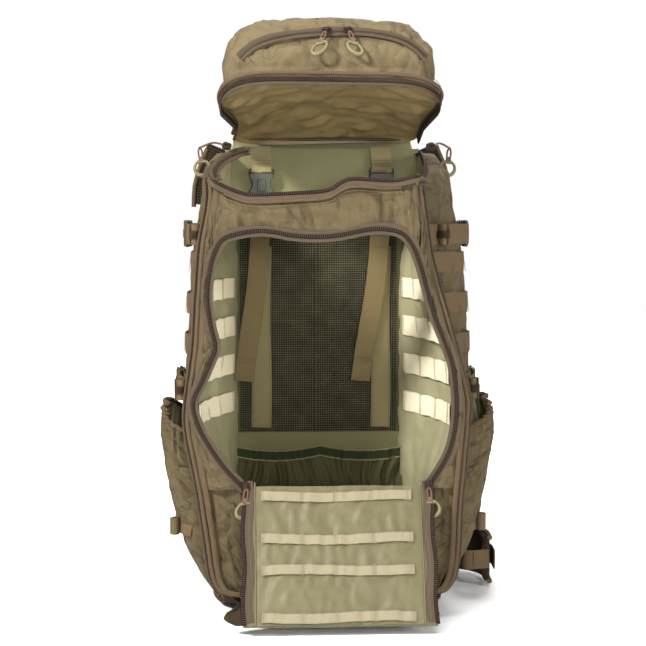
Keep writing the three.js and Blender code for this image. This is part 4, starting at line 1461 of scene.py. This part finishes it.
def make_flap_ladder():
    """The rows of narrow webbing across the hanging half, tacked down at even steps."""
    webs = Piece()
    for d in FLAP_ROWS:
        xs = np.linspace(-88, 84, 60)
        path = [flap_at(x, d + 1.3 * math.sin(x / 27 + d), flap_relief(x, d) + 2.2) for x in xs]
        webs.ribbon(path, FLAP_OUT, 11, 1.2, "cream", 0.4)
        for x in FLAP_TACKS:
            for dx in (-1.2, 1.2):
                seam = [flap_at(x + dx, d + e, flap_relief(x, d) + 2.9) for e in (-5, 0, 5)]
                webs.stitches(seam, FLAP_OUT, "thread_cream", 2.4)
    webs.make("flap_ladder", "flap_lower", ["flap_webbing"])


def make_flap_upper():
    """The upper half, folded up behind the hanging half."""
    upper = Piece()
    rows = []
    for t in np.linspace(0, 1, 40):
        row = []
        for x in np.linspace(FLAP_HALF, -FLAP_HALF, 50):
            d = mix(FLAP_LONG - 2, FLAP_LONG - (FOLDED_LONG + 2), t)
            fall = -5.5 - 1.3 * crumple((x, d, 9), 40, 12)
            row.append(flap_at(x, d, fall))
        rows.append(row)
    upper.grid([row[::-1] for row in rows], "shell", 1.4, back="flap")
    for s in (-1, 1):
        steps = np.linspace(0, FOLDED_LONG - 2, 30)
        line = [flap_at(s * (FLAP_HALF - 2), FLAP_LONG - 3 - d, -7) for d in steps]
        upper.ribbon(smooth(line), -FLAP_OUT, 7, 1.0, "tape")
        add_teeth(upper, line, -FLAP_OUT)
    made = upper.make("flap_fold_cloth", "flap_upper", ["flap_upper"])


def make_flap_hinge():
    """The cloth that joins the flap to the front panel."""
    hinge = Piece()
    rows = []
    for t in np.linspace(0, 1, 14):
        row = []
        for x in np.linspace(-FLAP_HALF + 4, FLAP_HALF - 4, 50):
            held = np.array((x + FLAP_MIDDLE, FRONT_Y + 4, FLAP_HINGE[2] - 14 + 1.5 * math.sin(x / 17)))
            hung = flap_at(x, 9, flap_relief(x, 9) - 0.2)
            row.append(mix(held, hung, t) + np.array((0, 0, 3 * math.sin(math.pi * t))))
        rows.append(row)
    hinge.grid(rows[::-1], "flap", 1.4, back="shell")
    made = hinge.make("flap_hinge_cloth", None)
    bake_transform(made)


def make_flap_fold():
    """The cloth round the fold between the flap's two halves."""
    fold = Piece()
    rows = []
    for turn in np.linspace(0, math.pi, 12):
        row = []
        for x in np.linspace(-FLAP_HALF, FLAP_HALF, 60):
            reach = 4.6 + 0.7 * crumple((x, 0, 0), 30, 5)
            middle = flap_at(x, FLAP_LONG - 4, -2.6)
            row.append(middle + FLAP_DOWN * math.sin(turn) * reach * 1.2 + FLAP_OUT * math.cos(turn) * 3.6)
        rows.append(row)
    fold.grid(rows[::-1], "flap", 1.2, back="shell")
    made = fold.make("flap_fold_strip", None)
    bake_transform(made)


def make_flap_corners():
    """The stiff corners that stand out of the fold: a large one on the left, a small one on the right."""
    corners = Piece()
    for s, wide, high in ((-1, 26, 34), (1, 7, 26)):
        rows = []
        for t in np.linspace(0, 1, 14):
            row = []
            for r in np.linspace(0, 1, 12):
                x = s * (FLAP_HALF - 4 + wide * r * (0.45 + 0.55 * math.sin(math.pi * t)))
                d = FLAP_LONG - 2 - high * (1 - t) * (1 - 0.45 * r)
                row.append(flap_at(x, d, -4.5 - 5 * r * math.sin(2.2 * t) + 1.6 * crumple((x, d, 0), 16, 4)))
            rows.append(row[::s])
        corners.grid(rows[::-1], "shell_dark", 1.6)
    corners.make("flap_corners", "flap_lower")


def make_pulls():
    """The ring pulls on the mouth's zip ends and on the flap's."""
    for side, s in SIDES:
        # The mouth's cord is fixed at both ends. It stays put, and only its ring swings.
        mouth = Piece()
        top = joint_at(f"mouth_pull_{side}_swing")
        slide_at = np.array((-120 if s < 0 else 117, top[1] - 96, 545))
        add_slider(mouth, slide_at, (s, 0.3, 0.25), (0, -0.8, 0.6))
        hang = top + np.array((6 if s < 0 else -9, -6, 0))
        for k in (-1, 1):
            cord = [slide_at + (s * 3, 0, 2), mix(slide_at, hang, 0.5) + np.array((0, 1.5 * k, 5)),
                    hang + (0, 0.8 * k, 0)]
            mouth.tube(smooth(cord, 14), CORD_THICK, "cord", 7)
        mouth.make(f"mouth_cord_{side}")
        ring = Piece()
        add_ring_pull(ring, hang, (-0.12 * s, -0.1, -1), (1, -0.15, -0.12 * s), 9.0)
        ring.make(f"mouth_ring_{side}", f"mouth_pull_{side}", [f"mouth_pull_{side}"])

        flap = Piece()
        top = joint_at(f"flap_pull_{side}_swing")
        at = np.array((FLAP_MIDDLE + s * 104, FLAP_HINGE[1] - 4, top[2] + 4))
        holder = Piece()
        add_slider(holder, at, FLAP_DOWN, FLAP_OUT)
        holder.make(f"flap_slider_{side}")
        add_ring_pull(flap, at + np.array((0, -6, -1)), (s * 0.15, -0.25, -1), (1, -0.2 * s, 0.15), 8.6)
        flap.make(f"flap_ring_{side}", f"flap_pull_{side}", [f"flap_pull_{side}"])


# ---- the outside of the sides --------------------------------------------------------------------------


def roll(turns, inner, outer, count=40):
    """A spiral in its own plane: webbing that is rolled up."""
    angles = np.linspace(0, TAU * turns, count)
    reach = np.linspace(inner, outer, count)
    return np.stack([np.cos(angles) * reach, np.sin(angles) * reach], 1)


QUARTER_TURN = np.array(((0, 1, 0), (-1, 0, 0), (0, 0, 1)))


def make_straps(side, s):
    """One side's two compression straps: webbing, a side-release buckle and the spare webbing rolled up."""
    for level in ("upper", "lower"):
        low, high = box(f"{level}_buckle_socket_{side}")
        plug_low, plug_high = box(f"{level}_buckle_plug_{side}")
        z = (low[2] + high[2]) / 2
        x = s * abs(plug_low[0] + plug_high[0]) / 2
        mouth = np.array((x, low[1], z))
        socket = Piece()
        add_socket(socket, mouth, (0, 1, 0), (s, 0, 0), "buckle")
        tail = [mouth + (0, 36, 0), on_side(s, 58, z, 5), on_side(s, 72, z, 2.6), on_side(s, 90, z, 2.2)]
        socket.ribbon(smooth(tail, step=4), (s, 0, 0), 24.5, 1.6, "webbing", 0.3)
        turn = smooth([mouth + (s * 3, 42, 0), mouth + (s * 4, 34, 0), mouth + (0, 31, 0)], 10)
        socket.ribbon(turn, (s, 0.2, 0), 24, 1.4, "webbing")
        for dy in (76, 80):
            bar = [on_side(s, dy, z + h, 3.6) for h in (-10, 0, 10)]
            socket.stitches(bar, (s, 0, 0), "thread_dark", 2.4)
        socket.make(f"{level}_socket_{side}", replaces=[f"{level}_buckle_socket_{side}"])
        plug = Piece()
        add_plug(plug, mouth, (0, 1, 0), (s, 0, 0), "buckle")
        plug.make(f"{level}_plug_{side}", f"{level}_buckle_plug_{side}", [f"{level}_buckle_plug_{side}"])
        strap = Piece()
        path = [on_side(s, -106, z, 2.4), on_side(s, -84, z, 3), on_side(s, -62, z, 5), mouth + (0, -36, 0),
                mouth + (0, -24, 0)]
        strap.ribbon(smooth(path, step=4), (s, 0, 0), 24.5, 1.6, "webbing", 0.3)
        spare = roll(2.3, 3.2, 11.5)
        centre = on_side(s, -74, z, 9)
        path = np.array([centre + np.array((b * s * 0.62, a, 0)) for a, b in spare])
        strap.ribbon(path, directions(path) @ QUARTER_TURN, 24, 1.3, "webbing")
        keeper = [centre + np.array((s * 8.2 * math.cos(a), 12.4 * math.sin(a), 0))
                  for a in np.linspace(0, TAU, 24)]
        strap.ribbon(keeper, unit(np.array(keeper) - centre), 9, 1.2, "shell_dark")
        strap.make(f"{level}_webbing_{side}", replaces=[f"{level}_strap_{side}"])


OUTER_ROWS = (410, 362, 314, 266)
OUTER_TACKS = (-96, -58, -20, 18, 56, 91)


def make_outer_ladder(side, s):
    """The rows of load webbing on the outside of one side, sewn down at even steps."""
    ladder = Piece()
    for z in OUTER_ROWS:
        path = [on_side(s, y, z + 0.8 * math.sin(y / 17), 2.6) for y in np.linspace(-101, 95, 44)]
        ladder.ribbon(path, (s, 0, 0), 24.5, 1.4, "webbing", 0.5)
        for y in OUTER_TACKS:
            for dy in (-1.4, 1.4):
                seam = [on_side(s, y + dy, z + h, 3.4) for h in (-11, 0, 11)]
                ladder.stitches(seam, (s, 0, 0), "thread_dark", 2.6)
    ladder.make(f"outer_ladder_{side}", replaces=[f"outer_webbing_{side}"])


def pocket_at(s, angle, t, inset=0.0):
    """A point of a side pocket: angle from its front seam (0) to its back seam (pi), t from foot to top."""
    low, high = box("side_pocket_left" if s < 0 else "side_pocket_right")
    y_half = (high[1] - low[1]) / 2 - inset
    out_at = table([(0, 133), (0.16, 158), (0.38, 180), (0.62, 191), (0.85, 200), (1, 196)])
    bulge = max(0.0, math.sin(angle)) ** 0.62
    y = -y_half * power(math.cos(angle), 0.72)
    z_top = 206 + 34 * bulge * (0.5 + 0.5 * ease((y + 60) / 90)) + (0 if s < 0 else 4)
    z = mix(low[2] - 6, z_top, t)
    base = side_x(s, y, z) - 1
    x = mix(base, max(base + 2, out_at(t) - inset), bulge)
    return np.array((s * x, y, z))


def make_pocket(side, s):
    pocket = Piece()
    rows = []
    angles = np.linspace(0, math.pi, 76)
    for t in np.linspace(0, 1, 46):
        row = []
        for a in angles:
            p = pocket_at(s, a, t)
            near_top = ease((t - 0.72) / 0.28)
            gather = (3.4 * math.sin(a * 26 + 1.5 * math.sin(a * 5)) + 1.4 * math.sin(a * 47)) * near_top
            sag = 5.5 * crumple((p[1] * 1.3, p[2] * 0.8, 0), 44, 5 + s) * min(1, t * 4) * (1 - 0.5 * near_top)
            out = np.array((s * math.sin(a), -math.cos(a), 0))
            row.append(p + out * (gather + sag) * math.sin(a) ** 0.4 if 0 < a < 3.1 else p)
        rows.append(row[:: s])
    pocket.grid(rows, "shell", 1.5, back="lining")
    top = np.array(rows[-1])
    pocket.tube(ruffle(smooth(top, 60), 9, 1.2, (0.5, 0.5, 0.6), 3), 2.9, "binding", 8)
    for back in (2, 4):
        band = np.array(rows[-back])
        pocket.stitches(smooth(band, 70) + np.array((s * 1.2, 0, 0)), (s, 0, 0), "thread_dark", 3.2, 0.6)
    seam = [pocket_at(s, math.pi / 2, t) + np.array((s * 1.6, 0, 0)) for t in np.linspace(0.02, 0.97, 30)]
    pocket.tube(smooth(seam, step=5), 1.4, "binding", 7)
    floor = []
    for r in np.linspace(0.02, 1, 8):
        row = []
        for a in angles[::3]:
            edge = pocket_at(s, a, 0.03)
            base = np.array((s * (side_x(s, edge[1], edge[2]) - 1), edge[1], edge[2]))
            row.append(mix(base, edge, r))
        floor.append(row[:: -s])
    pocket.grid(floor, "shell", 1.5)
    pocket.make(f"side_pocket_cloth_{side}", replaces=[f"side_pocket_{side}"])
    drain = Piece()
    first, last = 0.25, 2.6
    around = [pocket_at(s, a, 0.42) + np.array((s * 2.4, 0, 0)) for a in np.linspace(first, last, 24)]
    loop = smooth(around, step=4)
    facing = [(s * math.sin(a), -math.cos(a), 0) for a in np.linspace(first, last, len(loop))]
    drain.ribbon(loop, facing, 20, 1.5, "webbing", 0.3)
    centre = pocket_at(s, 0.9, 0.42) + np.array((s * 6, -5, -2))
    spiral = roll(1.8, 3, 8, 30)
    path = np.array([centre + np.array((b * 0.8, a, 0)) for a, b in spiral])
    drain.ribbon(path, directions(path) @ QUARTER_TURN, 20, 1.3, "webbing")
    drain.make(f"pocket_webbing_{side}")


# ---- the harness and the hip belt ----------------------------------------------------------------------


def puffed(name, node, kind, cap, voxel=5.0, pressure=4.0, shrink=0.94):
    """A stuffed pad grown from a CAD node: remeshed, blown up as cloth, and held within cap millimetres."""
    source = bpy.data.objects[node]
    mesh = source.data.copy()
    mesh.materials.clear()
    mesh.materials.append(MATERIALS[kind])
    pad = bpy.data.objects.new(name, mesh)
    bpy.context.scene.collection.objects.link(pad)
    bpy.context.view_layer.objects.active = pad
    for other in bpy.context.selected_objects:
        other.select_set(False)
    pad.select_set(True)
    remesh = pad.modifiers.new("even", "REMESH")
    remesh.mode = "VOXEL"
    remesh.voxel_size = voxel * MM
    bpy.ops.object.modifier_apply(modifier="even")
    for face in pad.data.polygons:
        face.material_index = 0
    rest = np.array([v.co for v in pad.data.vertices])
    blow_up(pad, pressure, shrink)
    now = np.array([v.co for v in pad.data.vertices])
    step = now - rest
    far = np.linalg.norm(step, axis=1, keepdims=True)
    now = rest + step * np.minimum(1, cap * MM / np.maximum(far, 1e-9))
    for i, v in enumerate(pad.data.vertices):
        p = now[i] / MM
        v.co = (p + v.normal.xyz * (0.9 * crumple(p, 22, 4))) * MM
    subdivide = pad.modifiers.new("round", "SUBSURF")
    subdivide.levels = 1
    bpy.ops.object.modifier_apply(modifier="round")
    pad.data.polygons.foreach_set("use_smooth", [True] * len(pad.data.polygons))
    pad.data.update()
    return pad


def blow_up(pad, pressure, shrink):
    cloth = pad.modifiers.new("cloth", "CLOTH")
    cloth.settings.quality = 6
    cloth.settings.mass = 0.2
    cloth.settings.use_pressure = True
    cloth.settings.uniform_pressure_force = pressure
    cloth.settings.shrink_min = 1 - shrink
    cloth.settings.tension_stiffness = 12
    cloth.settings.bending_stiffness = 0.6
    cloth.settings.effector_weights.gravity = 0
    scene = bpy.context.scene
    for step in range(1, 21):
        scene.frame_set(step)
    bpy.ops.object.modifier_apply(modifier="cloth")
    scene.frame_set(1)


def declare_pad(pad, node, body):
    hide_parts(node)
    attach(pad, body)


def make_harness():
    for side, s in SIDES:
        pad = puffed(f"back_cushion_{side}", f"back_pad_{side}", "spacer_pad", 7)
        declare_pad(pad, f"back_pad_{side}", "pack")
        strap = puffed(f"shoulder_pad_{side}", f"shoulder_strap_{side}", "spacer_pad", 6)
        declare_pad(strap, f"shoulder_strap_{side}", "pack")
        make_trims(side, s, strap)
    lumbar = puffed("lumbar_cushion", "lumbar_pad", "spacer_pad", 8)
    declare_pad(lumbar, "lumbar_pad", "pack")
    make_pad_border("lumbar_binding", "lumbar_pad", 16, 12)
    make_haul_handle()
    make_sternum()


def make_pad_border(name, node, corner, out):
    """The bound edge of a back pad: a rounded outline, held out from the back panel."""
    low, high = box(node)
    border = Piece()
    middle = (low + high) / 2
    outline = rounded(high[0] - low[0] - 6, high[2] - low[2] - 6, corner, 5)
    ring = smooth([(middle[0] + x, BACK_Y + out, middle[2] + z) for x, z in outline], step=6, closed=True)
    border.tube(ruffle(ring[:-1], 18, 0.6, (0.3, 1, 0.3)), 3.0, "binding", 8, closed=True)
    border.make(name)


def make_haul_handle():
    """The arched webbing handle at the top of the back, with its padded grip."""
    low, high = box("haul_handle")
    handle = Piece()
    z = (low[2] + high[2]) / 2
    arch = [(-45, BACK_Y + 2.5, z), (-30, BACK_Y + 8, z), (-16, BACK_Y + 20, z), (0, BACK_Y + 22.5, z),
            (16, BACK_Y + 20, z), (30, BACK_Y + 8, z), (45, BACK_Y + 2.5, z)]
    line = smooth(arch, step=3)
    out = np.stack([line[:, 0] * 0, np.ones(len(line)), line[:, 0] * 0], 1)
    handle.ribbon(line, out, 24, 2.2, "webbing", 0.6)
    grip = line[len(line) // 3: -len(line) // 3]
    handle.tube(grip + np.array((0, -0.6, 0)), 7.0, "shell_dark", 14)
    for s in (-1, 1):
        seam = [(s * 42, BACK_Y + 3.6, z + h) for h in (-10, 0, 10)]
        handle.stitches(seam, (0, 1, 0), "thread_dark", 2.4, 1.5)
    handle.make("haul_handle_cloth", replaces=["haul_handle"])


def edge_lines(pad, step=11.0):
    """The two edges of an upright pad and the middle of its outer face, at even heights."""
    points = np.array([v.co for v in pad.data.vertices]) / MM
    left, right, ridge = [], [], []
    for z in np.arange(points[:, 2].min() + 9, points[:, 2].max() - 8, step):
        level = points[abs(points[:, 2] - z) < step / 2]
        low, high = level[:, 0].min(), level[:, 0].max()
        for line, x in ((left, low), (right, high)):
            near = level[abs(level[:, 0] - x) < 4]
            line.append((x, near[:, 1].mean(), z))
        middle = level[abs(level[:, 0] - (low + high) / 2) < 9]
        ridge.append(((low + high) / 2, middle[:, 1].max(), z))
    return left, right, ridge


def make_trims(side, s, pad):
    """One shoulder strap's bindings and webbing, its adjuster and load lifter, and the back pad's border."""
    trim = Piece()
    left, right, ridge = edge_lines(pad)
    for line in (left, right):
        trim.tube(ruffle(smooth(line, step=6), 15, 0.5, (0.5, 1, 0)), 2.6, "binding", 8)
    ridge = np.array(ridge)
    out = unit(np.cross(directions(smooth(ridge, step=5)), (1, 0, 0)))
    out *= np.where(out[:, 1:2] > 0, 1, -1)
    trim.ribbon(smooth(ridge, step=5) + out * 1.6, out, 25, 1.6, "webbing", 0.3)
    for z in range(len(ridge) - 3, 2, -5):
        at = ridge[z] + (0, 3.2, 0)
        trim.stitches([at + (dx, 0, 0) for dx in (-10.5, 0, 10.5)], (0, 1, 0), "thread_dark", 2.4, 0.3)
    foot_at = ridge[0]
    anchor = np.array((s * (cad_side(1, 104, 92) - 14), BACK_Y + 4, 92))
    sag = mix(foot_at, anchor, 0.5) + (0, 3, 0)
    route = [foot_at + (0, 0, 14), foot_at + (s * 1, 1, -14), sag, anchor, anchor + (0, -1.5, -14)]
    path = smooth(route, step=5)
    trim.ribbon(path, (0, 1, 0.25), 20, 1.6, "webbing", 0.3)
    lock = foot_at + np.array((0, 3, -12))
    for dz in (-11, -3, 5, 12):
        trim.tube([lock + (x, 0, dz) for x in (-13, 0, 13)], 2.2, "buckle", 8)
    for x in (-13, 13):
        trim.tube([lock + (x, 0, dz) for dz in (-11, 12)], 2.2, "buckle", 8)
    top = ridge[-4] + (0, 3, 0)
    lifter = smooth([top, top + (-s * 1, 4, 16), (s * 82, BACK_Y + 16, 540), (s * 80, BACK_Y + 3, 547)],
                    step=4)
    trim.ribbon(lifter, (0, 1, 0.35), 18, 1.5, "webbing", 0.3)
    trim.make(f"shoulder_trim_{side}")
    make_pad_border(f"back_pad_binding_{side}", f"back_pad_{side}", 14, 9.5)


def make_strap_tops():
    """The netted, bound edge of each shoulder strap where it stands out beside the back panel."""
    for side, s in SIDES:
        edge = Piece()
        path = smooth([(s * 134, 119, 552), (s * 143, 119, 530), (s * 150, 120, 505), (s * 152, 122, 478)],
                      step=5)
        edge.ribbon(path, (0.2 * s, -1, 0), 26, 6, "spacer", 1.2)
        for k in (-1, 1):
            rim_of = path + np.array((k * 13, 2, 2.5 * k))
            edge.tube(ruffle(rim_of, 14, 0.7, (1, 0, 0)), 2.9, "binding", 8)
        edge.make(f"shoulder_edge_{side}")


def make_sternum():
    low, high = box("sternum_plug")
    y, z = (low[1] + high[1]) / 2, (low[2] + high[2]) / 2
    mouth = np.array((box("sternum_socket")[0][0], y, z))
    socket = Piece()
    add_socket(socket, mouth, (1, 0, 0), (0, 1, 0), "buckle")
    end = box("sternum_socket")[1][0]
    tail = [(x, y, z) for x in np.linspace(mouth[0] + 36, end, 16)]
    socket.ribbon(tail, (0, 1, 0), 24, 1.6, "webbing", 0.3)
    socket.make("sternum_clip", replaces=["sternum_socket"])
    plug = Piece()
    add_plug(plug, mouth, (1, 0, 0), (0, 1, 0), "buckle")
    plug.make("sternum_plug_clip", "sternum_plug", ["sternum_plug"])
    strap = Piece()
    low, high = box("sternum_strap")
    line = [(x, y, z) for x in np.linspace(low[0], high[0] - 2, 20)]
    strap.ribbon(line, (0, 1, 0), 24, 1.6, "webbing", 0.3)
    strap.make("sternum_webbing", replaces=["sternum_strap"])


def make_belt_trim(side, s, bend):
    """Binding along a belt wing's edges and webbing along the middle of its outside; bend is its plan."""
    start = joint_at(f"belt_{side}_swing")
    low, high = box(f"belt_wing_{side}")
    plan = smooth([(start[0] + s * x, start[1] + y) for x, y in bend], step=4)
    along = directions(plan)
    out = np.stack([along[:, 1], -along[:, 0]], 1) * -s
    trim = Piece()
    for z in (low[2] + 1.5, high[2] - 1.5):
        path = [(x, y, z) for x, y in plan]
        trim.tube(ruffle(path, 14, 0.5, (0, 0, 1)), 3.4, "binding", 8)
    face = [(x + n * 6.6, y + m * 6.6, (low[2] + high[2]) / 2) for (x, y), (n, m) in zip(plan, out)]
    normals = np.stack([out[:, 0], out[:, 1], out[:, 0] * 0], 1)
    trim.ribbon(face, normals, 24, 1.6, "webbing", 0.3)
    end = plan[-1]
    if side == "right":
        tuck = [(end[0], end[1] + 4, 34), (end[0] - 24, end[1] - 2, 34), (172, 31, 34), (172, 60, 34)]
    else:
        tuck = [(end[0] - 2, end[1], 34), (end[0] + 22, end[1], 34), (end[0] + 44, end[1], 34)]
    path = smooth(tuck, step=4)
    turn = directions(path) @ QUARTER_TURN
    trim.ribbon(path, turn, 24, 1.7, "webbing", 0.3)
    trim.make(f"belt_trim_{side}", f"belt_{side}")


def make_belt():
    right = puffed("belt_pad_right", "belt_wing_right", "belt", 5)
    declare_pad(right, "belt_wing_right", "belt_right")
    left = puffed("belt_pad_left", "belt_wing_left", "belt", 5)
    declare_pad(left, "belt_wing_left", "belt_left")
    make_belt_trim("right", 1, [(2, 0), (38, -6), (68, -28), (82, -62), (82, -102)])
    make_belt_trim("left", -1, [(2, 0), (22, 10), (30, 30), (16, 48), (-16, 54)])
    low, high = box("belt_plug")
    x, z = (low[0] + high[0]) / 2, (low[2] + high[2]) / 2
    plug = Piece()
    add_plug(plug, (x, high[1] - 13, z), (0, 1, 0), (-1, 0, 0), "buckle")
    plug.make("belt_plug_clip", "belt_plug", ["belt_plug"])
    low, high = box("belt_socket")
    y, z = (low[1] + high[1]) / 2, (low[2] + high[2]) / 2
    socket = Piece()
    add_socket(socket, (high[0], y, z), (-1, 0, 0), (0, 1, 0), "buckle")
    socket.make("belt_socket_clip", "belt_left", ["belt_socket"])


# ---- putting it together -------------------------------------------------------------------------------

make_camera()
make_stage()
MATERIALS = make_materials()
make_bottom()
make_back()
make_front()
make_openings()
make_corners()
make_inside()
make_hood()
make_hood_hinge()
make_flap()
make_pulls()
for side_name, side_sign in SIDES:
    make_side(side_name, side_sign)
    make_straps(side_name, side_sign)
    make_outer_ladder(side_name, side_sign)
    make_pocket(side_name, side_sign)
make_harness()
make_strap_tops()
make_belt()
